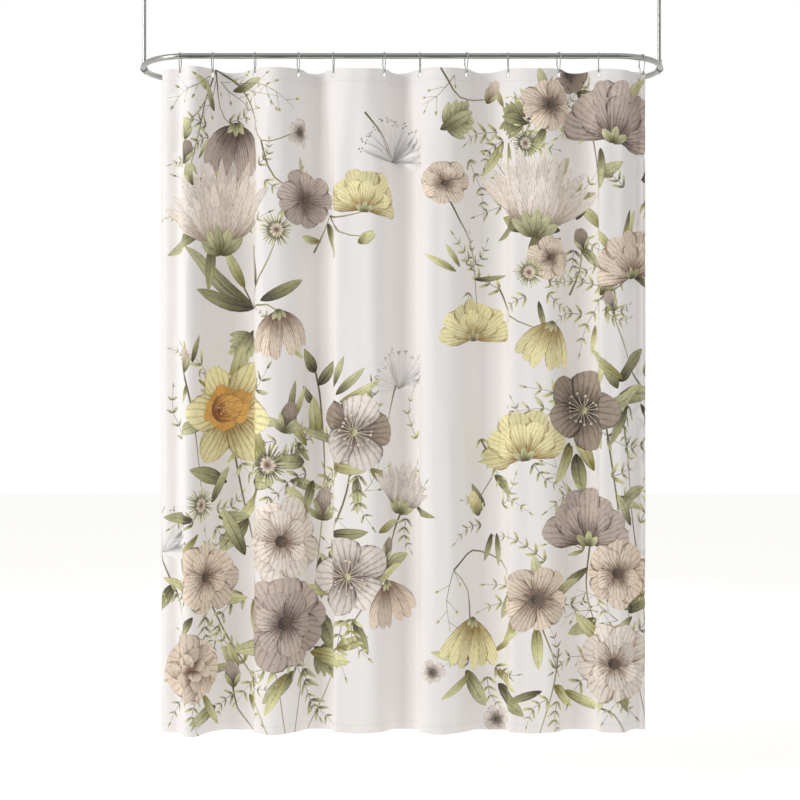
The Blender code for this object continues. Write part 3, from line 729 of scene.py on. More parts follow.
def lathe(profile, sides, centre):
    """A turned piece from (radius, height) pairs, closed where its first or last radius is 0."""
    turn = 2 * math.pi * np.arange(sides) / sides
    points, faces, marks, rows = [], [], [], []
    for radius, z in profile:
        if radius == 0:
            rows.append([len(points)] * sides)
            points.append((centre[0], centre[1], z))
        else:
            rows.append(list(range(len(points), len(points) + sides)))
            points += [(centre[0] + radius * math.cos(a), centre[1] + radius * math.sin(a), z) for a in turn]
    run = 0.0
    for k, (low, high) in enumerate(zip(rows, rows[1:])):
        (r0, z0), (r1, z1) = profile[k], profile[k + 1]
        step = math.hypot(r1 - r0, z1 - z0)
        for s in range(sides):
            t = (s + 1) % sides
            face = [low[s], low[t], high[t], high[s]]
            girth = [2 * math.pi * max(r0, r1) * q / sides for q in (s, s + 1)]
            mark = [(run, girth[0]), (run, girth[1]), (run + step, girth[1]), (run + step, girth[0])]
            kept = [i for i in range(4) if face[i] not in face[:i]]
            faces.append(tuple(face[i] for i in kept))
            marks += [mark[i] for i in kept]
        run += step
    return np.array(points), faces, marks


def add_metal(name, shape, finish, sharp=35):
    """A metal piece with its own map, smooth but for its corners."""
    points, faces, marks = shape
    made = add_piece(name, points, faces, finish)
    layer = made.data.uv_layers.new(name="flat")
    layer.uv.foreach_set("vector", np.array(marks, np.float32).ravel())
    made.data.set_sharp_from_angle(angle=math.radians(sharp))
    return made


def cut(target, cutter, operation="DIFFERENCE"):
    """Cuts a helper out of a piece, or joins it on, and removes the helper."""
    step = target.modifiers.new("cut", "BOOLEAN")
    step.operation, step.solver, step.object = operation, "EXACT", cutter
    seen = target.evaluated_get(bpy.context.evaluated_depsgraph_get())
    mesh = bpy.data.meshes.new_from_object(seen)
    target.modifiers.remove(step)
    old, target.data = target.data, mesh
    mesh.name = target.name
    bpy.data.meshes.remove(old)
    bpy.data.objects.remove(cutter)
    return target


# ---------------------------------------------------------------- print


class Spot:
    """Where a flower is painted: its own places, in radii from its middle, on the flat cloth.

    Turns are in degrees, 0 to the right and 90 down the cloth.
    """

    def __init__(self, u, v, size, turn=0.0, squash=1.0):
        way = np.array([math.cos(math.radians(turn)), math.sin(math.radians(turn))])
        self.middle = np.array([u, v])
        self.x = way * size
        self.y = np.array([-way[1], way[0]]) * size * squash

    def at(self, x, y):
        return self.middle + self.x * x + self.y * y

    def way(self, turn):
        return self.x * math.cos(math.radians(turn)) + self.y * math.sin(math.radians(turn))


class Print:
    """The flat print: shapes painted one over another, each with a frame for its wash and veins.

    A place of a shape is origin + p along + (q + bend p p) across, with q up to (4x(1-x))^point and
    x = p^full, so every triangle inside it knows how far along and across its petal it lies.
    """

    bloom = 1.2  # each flower is drawn this many times its given size
    leafiness = 0.62  # share of the planned leaves that is painted

    def __init__(self, cloth, ink):
        self.size = np.array([cloth.width, cloth.height])
        self.ink = ink
        self.random = random.Random(SEED)
        self.shapes = []

    def vary(self, share):
        return 1 + self.random.uniform(-share, share)

    def add(self, outline, frame_of, form, ink, leafy, cover):
        outline = np.clip(outline, 0, self.size)
        keep = [k for k in range(len(outline)) if np.abs(outline[k] - outline[k - 1]).max() > 0.0002]
        if len(keep) > 2:
            grain = self.random.random() * 40
            self.shapes.append((outline[keep], frame_of, (*form, grain), ink, leafy, cover))

    def blade(self, spot, start, turn, length, width, ink, full=1.4, point=0.5, bend=0.0, leafy=0.0,
              cover=0.97, frill=0.0, waves=7):
        """A petal or leaf from a place of the spot."""
        origin = spot.at(*start)
        along = spot.way(turn) * length
        across = spot.way(turn + 90) * width / 2
        around = 2 * (np.linalg.norm(along) + np.linalg.norm(across))
        half_count = int(min(max(around / 0.023, 3), 10))
        p = (1 - np.cos(np.linspace(0, math.pi, half_count + 1))) / 2
        x = p**full
        half = (4 * x * (1 - x)) ** point
        phase = self.random.uniform(0, 6)
        sides = []
        for side in (1, -1):
            wavy = half * (1 + frill * p * np.sin(waves * p + phase + side))
            sides.append(origin + p[:, None] * along + (side * wavy + bend * p * p)[:, None] * across)
        outline = np.concatenate([sides[0], sides[1][::-1]])
        self.add(outline, (origin, along, across, bend), (full, point), ink, leafy, cover)

    def stroke(self, points, wide, narrow, ink="stem", cover=0.97):
        """A stem through flat places, from one width to another."""
        points = np.array(points, float)
        ways = np.gradient(points, axis=0)
        line = [points[:1]]
        for k in range(len(points) - 1):
            a, b = points[k], points[k + 1]
            count = int(min(max(np.linalg.norm(b - a) / 0.028, 2), 8))
            t = np.linspace(0, 1, count + 1)[1:, None]
            line.append(
                a * (2 * t**3 - 3 * t**2 + 1)
                + ways[k] * (t**3 - 2 * t**2 + t)
                + b * (3 * t**2 - 2 * t**3)
                + ways[k + 1] * (t**3 - t**2)
            )
        line = np.concatenate(line)
        way = np.gradient(line, axis=0)
        way /= np.linalg.norm(way, axis=1, keepdims=True)
        out = np.stack([-way[:, 1], way[:, 0]], axis=1) * np.linspace(wide, narrow, len(line))[:, None] / 2
        along = points[-1] - points[0]
        across = np.array([-along[1], along[0]]) * 8
        outline = np.concatenate([line + out, (line - out)[::-1]])
        self.add(outline, (points[0], along, across, 0.0), (1.0, 0.0), ink, 0.0, cover)
        return line, way

    def ray(self, spot, start, turn, length, wide, ink, cover=0.85):
        """A straight thin stroke from a place of the spot."""
        a = spot.at(*start)
        b = a + spot.way(turn) * length
        side = np.array([a[1] - b[1], b[0] - a[0]])
        side *= wide / max(np.linalg.norm(side), 1e-6) / 2
        outline = np.array([a + side, b + side * 0.5, b - side * 0.5, a - side])
        self.add(outline, (a, b - a, side * 8, 0.0), (1.0, 0.0), ink, 0.0, cover)
        return b

    def dot(self, place, size, ink, cover=0.9, points=6):
        turn = 2 * math.pi * (np.arange(points) / points + self.random.random())
        outline = place + np.stack([np.cos(turn), np.sin(turn)], axis=1) * size / 2
        frame_of = (place, np.array([size, 0]), np.array([0, size * 8]), 0.0)
        self.add(outline, frame_of, (1.0, 0.0), ink, 0, cover)

    # ---- flowers

    def whorl(self, spot, count, length, width, ink, start=0.0, first=0.0, **form):
        """Petals in two layers all round, the lower ones between the upper ones."""
        order = list(range(0, count, 2)) + list(range(1, count, 2))
        for k in order:
            turn = first + 360 * k / count + self.random.uniform(-6, 6)
            root = (start * math.cos(math.radians(turn)), start * math.sin(math.radians(turn)))
            self.blade(spot, root, turn, length * self.vary(0.09), width * self.vary(0.10), ink,
                       bend=self.random.uniform(-0.18, 0.18), **form)

    def stamens(self, spot, count, near, far, ink, thick=0.0011, tip=0.0034):
        for k in range(count):
            turn = 360 * (k + self.random.uniform(-0.3, 0.3)) / count
            root = (near * math.cos(math.radians(turn)), near * math.sin(math.radians(turn)))
            end = self.ray(spot, root, turn, (far - near) * self.vary(0.3), thick, ink)
            self.dot(end, tip * self.vary(0.3), ink, points=5)

    def eye(self, spot, size, ink="umber", star=0):
        """A dark middle, with a star of short petals round it."""
        if star:
            self.whorl(spot, star, size * 2.3, size * 0.9, ink, cover=0.9, point=0.8, full=1.0)
        self.blade(spot, (-size, 0), 0, size * 2, size * 2, ink, full=1.0, cover=0.95)

    def cosmos(self, u, v, size, ink="beige", petals=8, turn=0.0, squash=1.0, star=9):
        spot = Spot(u, v, size * self.bloom, turn, squash)
        self.whorl(spot, petals, 1.0, 0.66, ink, full=2.0, point=0.46, frill=0.22)
        self.eye(spot, 0.15, star=star)
        self.stamens(spot, 11, 0.14, 0.34, "umber")

    def anemone(self, u, v, size, ink="cream", petals=9, turn=0.0, squash=0.9):
        spot = Spot(u, v, size * self.bloom, turn, squash)
        self.whorl(spot, petals, 1.0, 0.80, ink, full=1.7, point=0.48, frill=0.18)
        self.whorl(spot, petals - 3, 0.70, 0.56, ink, first=20, full=1.7, point=0.5, frill=0.1)
        self.stamens(spot, 19, 0.16, 0.38, "umber")
        self.eye(spot, 0.15)

    def hellebore(self, u, v, size, ink="pearl", side_ink="", turn=0.0, squash=0.85):
        spot = Spot(u, v, size * self.bloom, turn, squash)
        for k in (1, 4, 2, 3, 0):
            tone = side_ink if side_ink and k in (1, 4) else ink
            self.blade(spot, (0, 0), 72 * k - 90 + self.random.uniform(-6, 6), 1.0, 0.90 * self.vary(0.06),
                       tone, full=1.35, point=0.60, frill=0.12, bend=self.random.uniform(-0.15, 0.15))
        self.stamens(spot, 17, 0.05, 0.36, "pollen", thick=0.0018, tip=0.0075)
        self.blade(spot, (-0.09, 0), 0, 0.18, 0.2, "sage", full=1.0)

    def daffodil(self, u, v, size, turn=0.0, squash=0.9):
        spot = Spot(u, v, size * self.bloom, turn, squash)
        self.whorl(spot, 6, 1.0, 0.66, "yellow", full=1.25, point=0.66, frill=0.06)
        cup = Spot(*spot.at(-0.10, -0.10), size * self.bloom, turn - 20, squash * 0.86)
        self.whorl(cup, 12, 0.47, 0.26, "amber", full=2.4, point=0.40)
        self.blade(cup, (-0.30, 0), 0, 0.60, 0.60, "amber", full=1.0, cover=0.95)
        self.blade(cup, (-0.17, 0.03), 0, 0.36, 0.34, "amber", full=1.0, cover=0.97)
        self.stamens(cup, 5, 0.02, 0.12, "pollen", tip=0.005)

    def bell(self, u, v, size, ink="mauve", turn=0.0, stem_ink="sage"):
        """A hanging bell: petals side by side from a cap, longer than wide."""
        spot = Spot(u, v, size * self.bloom, turn)
        for lean, width in ((42, 0.62), (138, 0.62), (60, 0.62), (120, 0.62), (76, 0.56), (104, 0.56)):
            self.blade(spot, (0, -1.0), lean, 1.95 * self.vary(0.04), width, ink, full=1.35, point=0.5,
                       bend=(90 - lean) / 45, frill=0.10)
        for lean in (55, 125, 90):
            self.blade(spot, (0, -1.08), lean, 0.5, 0.22, stem_ink, full=1.0, point=0.8, leafy=1.0)

    def poppy(self, u, v, size, ink="yellow", turn=0.0, open_by=150, petals=7):
        """An open cup from the side: wide ruffled petals in a fan, and the sepals under it."""
        spot = Spot(u, v, size * self.bloom, turn)
        for row, (reach, wide) in enumerate(((1.6, 0.86), (1.18, 0.74))):
            count = petals - row * 2
            for k in sorted(range(count), key=lambda k: -abs(k - (count - 1) / 2)):
                lean = -90 + open_by * (1 - 0.25 * row) * (k / (count - 1) - 0.5)
                self.blade(spot, (0, 0.62), lean, reach * self.vary(0.06), wide * self.vary(0.08), ink,
                           full=2.0, point=0.45, frill=0.22, bend=(lean + 90) / 200)
        for lean in (-140, -40, -90):
            self.blade(spot, (0, 0.72), lean, 0.46, 0.24, "sage", full=1.0, point=0.7, leafy=1.0)

    def bud(self, u, v, size, ink="mauve", turn=0.0, leaves=2):
        spot = Spot(u, v, size * self.bloom, turn)
        for lean, bend in ((-100, 0.3), (-80, -0.3), (-90, 0.0)):
            self.blade(spot, (0, 0.9), lean, 1.9, 0.95, ink, full=1.0, point=0.62, bend=bend)
        for k in range(leaves):
            lean = -90 + 42 * (1 if k % 2 else -1) * (1 + k // 2) * 0.7
            self.blade(spot, (0, 1.05), lean, 1.35, 0.40, "sage", full=1.0, point=0.85, leafy=1.0)

    def rose(self, u, v, size, ink="beige", turn=0.0):
        spot = Spot(u, v, size * self.bloom, turn, 0.92)
        self.whorl(spot, 7, 1.0, 0.98, ink, full=2.0, point=0.45, frill=0.08)
        for k in range(15):
            lean = 137.5 * k
            away = 0.62 * (1 - k / 16)
            root = (away * math.cos(math.radians(lean)), away * math.sin(math.radians(lean)))
            self.blade(spot, root, lean + 96, 0.74 * (1 - k / 26), 0.42, ink, full=1.0, point=0.62,
                       bend=-0.6)

    def protea(self, u, v, size, ink="cream", turn=0.0):
        """A cup of narrow pointed bracts, row in front of row."""
        spot = Spot(u, v, size * self.bloom, turn)
        for reach, spread, count in ((1.85, 118, 13), (1.62, 104, 11), (1.30, 86, 9), (0.95, 68, 7)):
            for k in sorted(range(count), key=lambda k: -abs(k - (count - 1) / 2)):
                lean = -90 + spread * (k / (count - 1) - 0.5)
                self.blade(spot, (0, 0.85), lean, reach * self.vary(0.06), 0.30, ink, full=1.35,
                           point=0.85, bend=-(lean + 90) / 75)
        for lean in (-150, -30, -120, -60, -90):
            self.blade(spot, (0, 0.95), lean, 0.62, 0.26, "sage", full=1.0, point=0.7, leafy=1.0)

    def thistle(self, u, v, size, ink="sage", turn=0.0, spikes=30):
        spot = Spot(u, v, size * self.bloom, turn)
        self.blade(spot, (-0.55, 0), 0, 1.1, 1.1, ink, full=1.0, cover=0.8)
        for k in range(spikes):
            lean = 360 * (k + self.random.uniform(-0.3, 0.3)) / spikes
            root = (0.34 * math.cos(math.radians(lean)), 0.34 * math.sin(math.radians(lean)))
            self.blade(spot, root, lean, 0.66 * self.vary(0.2), 0.11, ink, full=1.0, point=0.9)
        self.whorl(spot, 9, 0.40, 0.20, "beige", full=1.0, point=0.8, cover=0.95)

    def umbel(self, u, v, size, ink="pearl", turn=0.0, rays=15, spread=170):
        spot = Spot(u, v, size * self.bloom, turn)
        for k in range(rays):
            lean = -90 + spread * (k / (rays - 1) - 0.5)
            end = self.ray(spot, (0, 0.8), lean, 1.7 * self.vary(0.10), 0.0009, "stem", cover=0.55)
            for _ in range(5):
                off = np.array([self.random.uniform(-1, 1), self.random.uniform(-1, 1)]) * size * 0.14
                self.dot(end + off, size * 0.09 * self.vary(0.3), ink, cover=0.75, points=5)

    # ---- leaves

    def leaf(self, start, end, width, ink="sage", bend=0.2, **form):
        start, end = np.array(start), np.array(end)
        along = end - start
        spot = Spot(*start, np.linalg.norm(along), math.degrees(math.atan2(along[1], along[0])))
        form = {"full": 0.9, "point": 0.8, **form}
        self.blade(spot, (0, 0), 0, 1.0, width / np.linalg.norm(along), ink, bend=bend, leafy=1.0, **form)

    def sprig(self, points, length, width, pairs, ink="sprig", taper=0.5, slant=52, stem=0.002):
        """A stem with leaflets on both sides, smaller towards its end."""
        line, way = self.stroke(points, stem, stem * 0.5)
        for k in range(pairs):
            place = (k + 0.6) / pairs
            i = min(int(place * (len(line) - 1)), len(line) - 1)
            size = length * (1 - taper * place) * self.vary(0.12)
            heading = math.degrees(math.atan2(way[i][1], way[i][0]))
            for side in (1, -1):
                turn = math.radians(heading + side * slant * self.vary(0.15))
                tip = line[i] + np.array([math.cos(turn), math.sin(turn)]) * size
                self.leaf(line[i], tip, width * size / length, ink, bend=-side * 0.5)
        tip = line[-1] + way[-1] * length * (1 - taper)
        self.leaf(line[-1], tip, width * (1 - taper), ink, bend=0.1)

    def foliage(self, u, v, reach, leaves=5, sprigs=2):
        """Leaves and young sprigs that look out from behind a flower."""
        leaves = math.ceil(leaves * self.leafiness)
        sprigs += 1
        first = self.random.uniform(0, 360)
        for k in range(leaves + sprigs):
            turn = math.radians(first + 360 * k / (leaves + sprigs) + self.random.uniform(-22, 22))
            way = np.array([math.cos(turn), math.sin(turn)])
            start = np.array([u, v]) + way * reach * 0.35
            end = np.array([u, v]) + way * reach * self.random.uniform(0.95, 1.3)
            if k % 2 and sprigs:
                middle = (start + end) / 2 + np.array([-way[1], way[0]]) * reach * 0.12
                tone = self.random.choice(("sprig", "sage"))
                self.sprig([start, middle, end], reach * 0.28, reach * 0.075, 5, tone)
                sprigs -= 1
                continue
            tone = self.random.choice(("sage", "olive", "sage", "sprig", "sprig"))
            bend = self.random.uniform(-0.8, 0.8)
            self.leaf(start, end, reach * 0.19 * self.vary(0.3), tone, bend=bend)

    def cut_leaf(self, start, end, width, lobes=4, ink="sage"):
        """A leaf cut into pointed lobes."""
        start, end = np.array(start), np.array(end)
        along = end - start
        length = np.linalg.norm(along)
        heading = math.degrees(math.atan2(along[1], along[0]))
        for k in range(lobes):
            place = 0.15 + 0.6 * k / lobes
            for side in (1, -1):
                turn = math.radians(heading + side * (58 - 26 * k / lobes))
                reach = width * (1 - 0.35 * k / lobes) * self.vary(0.1)
                tip = start + along * place + np.array([math.cos(turn), math.sin(turn)]) * reach
                self.leaf(start + along * place, tip, length * 0.24, ink, bend=-side * 0.2)
        self.leaf(start, end, width * 0.5, ink)

    def twig(self, points, buds=6, ink="sprig", size=0.008):
        """A thin branch with a bud at the end of each side shoot."""
        line, way = self.stroke(points, 0.0022, 0.001)
        for k in range(buds):
            i = int((k + 1) / (buds + 1) * (len(line) - 1))
            heading = math.degrees(math.atan2(way[i][1], way[i][0])) + (45 if k % 2 else -45)
            turn = math.radians(heading * self.vary(0.05))
            end = line[i] + np.array([math.cos(turn), math.sin(turn)]) * 0.035 * self.vary(0.3)
            self.stroke([line[i], end], 0.0014, 0.001)
            self.leaf(end, end + (end - line[i]) / np.linalg.norm(end - line[i]) * size * 1.8, size, ink)


def paint(cloth, ink):
    """The whole print: stems first, then leaves, then flowers, from the top of the cloth to its hem."""
    p = Print(cloth, ink)
    stems = [
        [(0.24, 0.0), (0.255, 0.10), (0.30, 0.15)],
        [(0.24, 0.0), (0.20, 0.09), (0.13, 0.16)],
        [(0.20, 0.09), (0.165, 0.20), (0.145, 0.27)],
        [(0.24, 0.0), (0.30, 0.02), (0.36, 0.09), (0.42, 0.20), (0.54, 0.17)],
        [(0.42, 0.20), (0.46, 0.30), (0.57, 0.36)],
        [(0.36, 0.66), (0.30, 0.55), (0.24, 0.46)],
        [(0.36, 0.66), (0.43, 0.55), (0.465, 0.47)],
        [(0.36, 0.66), (0.44, 0.65), (0.48, 0.68)],
        [(0.65, 0.40), (0.70, 0.41), (0.785, 0.39)],
        [(0.65, 0.40), (0.71, 0.45), (0.77, 0.46)],
        [(0.60, 0.50), (0.63, 0.44), (0.65, 0.40)],
        [(0.78, 0.12), (0.83, 0.18), (0.88, 0.24)],
        [(1.06, 0.0), (1.12, 0.08), (1.24, 0.07)],
        [(1.36, 0.12), (1.40, 0.06), (1.48, 0.0)],
        [(1.76, 0.005), (1.72, 0.06), (1.67, 0.15)],
        [(1.525, 0.045), (1.575, 0.20), (1.60, 0.42), (1.60, 0.64)],
        [(1.42, 0.60), (1.40, 0.50), (1.39, 0.42)],
        [(1.60, 0.64), (1.66, 0.60), (1.71, 0.56)],
        [(1.075, 0.34), (1.12, 0.42), (1.17, 0.50), (1.19, 0.66)],
        [(1.255, 0.605), (1.30, 0.68), (1.40, 0.72)],
        [(1.50, 0.62), (1.53, 0.55), (1.535, 0.49)],
        [(1.795, 0.94), (1.70, 0.80), (1.64, 0.66)],
        [(1.795, 0.94), (1.80, 0.80), (1.795, 0.68)],
        [(1.62, 0.94), (1.66, 1.20), (1.70, 1.50), (1.77, 1.829)],
        [(1.66, 0.90), (1.70, 1.10), (1.745, 1.40), (1.80, 1.829)],
        [(1.10, 1.38), (1.17, 1.33), (1.26, 1.36), (1.30, 1.44)],
        [(1.45, 1.60), (1.43, 1.70), (1.39, 1.829)],
        [(1.38, 1.50), (1.42, 1.60), (1.45, 1.68)],
        [(1.60, 1.76), (1.65, 1.78), (1.68, 1.829)],
        [(1.16, 1.52), (1.15, 1.44), (1.10, 1.38)],
        [(1.20, 1.02), (1.24, 1.10), (1.20, 1.18)],
        [(1.56, 1.30), (1.55, 1.45), (1.60, 1.60)],
        [(0.75, 1.04), (0.72, 1.20), (0.62, 1.42), (0.56, 1.62), (0.52, 1.829)],
        [(0.29, 1.0), (0.33, 1.20), (0.40, 1.45), (0.46, 1.65), (0.49, 1.829)],
        [(0.92, 1.20), (0.84, 1.38), (0.70, 1.60), (0.58, 1.829)],
        [(0.20, 1.44), (0.30, 1.60), (0.40, 1.75), (0.44, 1.829)],
        [(0.12, 0.82), (0.15, 0.95), (0.18, 1.15)],
        [(0.605, 0.835), (0.62, 0.93), (0.63, 1.15), (0.60, 1.45)],
        [(0.0, 1.30), (0.05, 1.40), (0.14, 1.60)],
        [(0.295, 1.70), (0.31, 1.77), (0.36, 1.829)],
        [(0.895, 0.87), (0.86, 0.96), (0.80, 1.05)],
    ]
    for stem in stems:
        p.stroke(stem, 0.0054, 0.0028)

    leaves = [
        ((0.30, 0.05), (0.41, 0.03), 0.028, "sage"),
        ((0.22, 0.06), (0.16, 0.02), 0.026, "sprig"),
        ((0.36, 0.66), (0.12, 0.50), 0.048, "sage"),
        ((0.36, 0.66), (0.16, 0.62), 0.040, "olive"),
        ((0.33, 0.60), (0.27, 0.49), 0.030, "sprig"),
        ((0.40, 0.60), (0.37, 0.48), 0.034, "sage"),
        ((0.42, 0.64), (0.55, 0.58), 0.034, "olive"),
        ((0.64, 0.42), (0.70, 0.52), 0.034, "sage"),
        ((0.62, 0.47), (0.55, 0.46), 0.022, "sprig"),
        ((0.605, 0.835), (0.56, 0.77), 0.040, "olive"),
        ((0.61, 0.87), (0.68, 0.80), 0.036, "olive"),
        ((0.60, 0.92), (0.55, 0.88), 0.030, "olive"),
        ((0.70, 0.90), (0.78, 0.82), 0.024, "sage"),
        ((0.71, 0.92), (0.83, 0.86), 0.022, "sprig"),
        ((0.69, 0.88), (0.72, 0.79), 0.020, "sage"),
        ((0.36, 1.14), (0.46, 1.14), 0.044, "sage"),
        ((0.28, 1.14), (0.14, 1.10), 0.046, "olive"),
        ((0.34, 1.24), (0.26, 1.34), 0.050, "sage"),
        ((0.62, 1.42), (0.74, 1.50), 0.046, "sage"),
        ((0.60, 1.50), (0.70, 1.62), 0.060, "olive"),
        ((0.52, 1.66), (0.42, 1.74), 0.044, "sage"),
        ((0.70, 1.60), (0.79, 1.56), 0.034, "sprig"),
        ((0.84, 1.38), (0.93, 1.34), 0.036, "sage"),
        ((0.82, 1.28), (0.90, 1.24), 0.026, "sprig"),
        ((0.24, 1.76), (0.14, 1.80), 0.040, "sage"),
        ((0.06, 1.42), (0.02, 1.50), 0.034, "olive"),
        ((1.525, 0.05), (1.60, 0.09), 0.034, "olive"),
        ((1.59, 0.30), (1.68, 0.26), 0.034, "sage"),
        ((1.60, 0.44), (1.53, 0.36), 0.030, "sprig"),
        ((1.46, 0.40), (1.54, 0.31), 0.036, "sage"),
        ((1.34, 0.45), (1.27, 0.40), 0.034, "olive"),
        ((1.66, 0.86), (1.76, 0.78), 0.042, "olive"),
        ((1.66, 0.90), (1.795, 0.90), 0.050, "sage"),
        ((1.66, 0.88), (1.62, 0.80), 0.034, "sage"),
        ((1.50, 1.03), (1.46, 1.14), 0.040, "sage"),
        ((1.52, 1.06), (1.53, 1.17), 0.042, "olive"),
        ((1.66, 1.20), (1.76, 1.16), 0.040, "sage"),
        ((1.70, 1.50), (1.79, 1.46), 0.040, "olive"),
        ((1.72, 1.60), (1.81, 1.66), 0.036, "sage"),
        ((1.30, 1.44), (1.26, 1.52), 0.030, "sage"),
        ((1.14, 1.66), (1.22, 1.76), 0.048, "sage"),
        ((1.25, 1.70), (1.34, 1.79), 0.044, "olive"),
        ((1.43, 1.70), (1.51, 1.76), 0.036, "sprig"),
        ((1.58, 1.52), (1.50, 1.57), 0.038, "sage"),
        ((1.24, 1.12), (1.31, 1.18), 0.030, "sage"),
    ]
    for start, end, width, ink_name in leaves:
        p.leaf(start, end, width, ink_name, bend=p.random.uniform(-0.6, 0.6))
    p.cut_leaf((1.06, 0.17), (1.17, 0.11), 0.075)
    p.cut_leaf((1.36, 0.15), (1.27, 0.13), 0.070, ink="olive")
    p.cut_leaf((0.36, 0.72), (0.30, 0.80), 0.060)
    p.cut_leaf((0.60, 1.60), (0.685, 1.66), 0.070, ink="olive")
    p.sprig([(1.155, 0.25), (1.20, 0.32), (1.21, 0.40)], 0.034, 0.009, 9, "sage")
    p.sprig([(1.255, 0.605), (1.17, 0.55), (1.10, 0.46)], 0.040, 0.012, 9)
    p.sprig([(1.60, 0.60), (1.51, 0.58), (1.42, 0.60)], 0.036, 0.011, 8)
    p.sprig([(1.60, 0.64), (1.55, 0.70), (1.53, 0.78)], 0.036, 0.011, 7)
    p.sprig([(1.20, 1.02), (1.27, 1.15), (1.36, 1.22)], 0.036, 0.011, 9)
    p.sprig([(1.405, 1.355), (1.33, 1.30), (1.24, 1.29)], 0.036, 0.011, 9)
    p.sprig([(0.33, 1.64), (0.25, 1.56), (0.18, 1.48)], 0.040, 0.013, 8)
    p.sprig([(0.51, 1.62), (0.56, 1.70), (0.615, 1.795)], 0.046, 0.011, 12, "sage")
    p.sprig([(0.37, 1.68), (0.38, 1.75), (0.42, 1.80)], 0.040, 0.011, 8)
    p.sprig([(0.96, 1.02), (0.93, 0.95), (0.95, 0.88)], 0.026, 0.008, 7)
    p.sprig([(0.10, 1.02), (0.06, 0.95), (0.06, 0.88)], 0.030, 0.010, 7, "sage")
    p.sprig([(1.72, 1.70), (1.66, 1.74), (1.62, 1.80)], 0.034, 0.010, 7)
    p.twig([(0.30, 0.02), (0.37, 0.06), (0.47, 0.08)])
    p.twig([(0.22, 0.02), (0.14, 0.06), (0.04, 0.08)], 7, "sage")
    p.twig([(0.24, 0.03), (0.22, 0.10), (0.17, 0.14)], 5)
    p.twig([(0.26, 0.03), (0.34, 0.09), (0.40, 0.15)], 6, "sage")
    p.twig([(0.32, 0.03), (0.43, 0.05), (0.52, 0.11)], 7)
    p.twig([(1.10, 0.02), (1.05, 0.08), (1.00, 0.10)], 5)
    p.twig([(1.50, 1.18), (1.44, 1.10), (1.42, 1.02)], 6)
    p.twig([(1.60, 1.50), (1.52, 1.50), (1.46, 1.54)], 6, "sage")
    p.twig([(0.24, 0.46), (0.16, 0.43), (0.08, 0.40)], 5, "sage")
    p.twig([(1.28, 0.30), (1.24, 0.24), (1.25, 0.18)], 5)
    p.twig([(1.66, 1.52), (1.58, 1.46), (1.52, 1.44)], 5, "sage")
    p.twig([(1.10, 1.38), (1.08, 1.46), (1.09, 1.55)], 5)
    p.twig([(0.74, 1.20), (0.80, 1.14), (0.83, 1.06)], 5, "sage")

    for u, v, reach, leaves_round, sprigs_round in (
        (0.25, 0.16, 0.13, 4, 2),
        (0.15, 0.28, 0.10, 4, 1),
        (0.24, 0.42, 0.17, 6, 2),
        (0.40, 0.30, 0.10, 3, 1),
        (0.56, 0.36, 0.10, 3, 1),
        (0.47, 0.74, 0.09, 3, 1),
        (1.30, 0.15, 0.15, 5, 3),
        (1.42, 0.12, 0.12, 4, 2),
        (1.62, 0.16, 0.17, 5, 2),
        (1.40, 0.38, 0.17, 6, 2),
        (1.50, 0.45, 0.13, 4, 3),
        (1.72, 0.34, 0.13, 4, 2),
        (1.68, 0.54, 0.13, 5, 2),
        (1.58, 0.66, 0.13, 3, 3),
        (1.38, 0.60, 0.11, 2, 3),
        (1.14, 0.58, 0.11, 2, 3),
        (0.28, 0.95, 0.20, 5, 3),
        (0.14, 0.84, 0.09, 2, 2),
        (0.50, 1.00, 0.12, 5, 1),
        (0.45, 1.12, 0.16, 6, 3),
        (0.62, 1.08, 0.17, 7, 2),
        (0.75, 1.06, 0.17, 6, 2),
        (0.20, 1.24, 0.14, 5, 2),
        (0.92, 1.20, 0.12, 4, 2),
        (0.62, 1.28, 0.17, 7, 2),
        (0.72, 1.46, 0.17, 6, 2),
        (0.36, 1.40, 0.18, 6, 2),
        (0.18, 1.46, 0.15, 5, 3),
        (0.52, 1.60, 0.20, 6, 3),
        (0.16, 1.68, 0.13, 5, 2),
        (0.32, 1.70, 0.11, 4, 2),
        (1.54, 0.98, 0.19, 6, 2),
        (1.72, 0.88, 0.15, 5, 2),
        (1.34, 1.06, 0.12, 2, 3),
        (1.24, 1.24, 0.12, 2, 3),
        (1.60, 1.16, 0.16, 5, 3),
        (1.60, 1.34, 0.17, 5, 3),
        (1.74, 1.30, 0.13, 5, 2),
        (1.38, 1.48, 0.15, 4, 3),
        (1.64, 1.62, 0.17, 6, 3),
        (1.76, 1.50, 0.12, 4, 2),
        (1.20, 1.64, 0.13, 4, 3),
        (1.44, 1.70, 0.13, 3, 3),
    ):
        p.foliage(u, v, reach, leaves_round, sprigs_round)

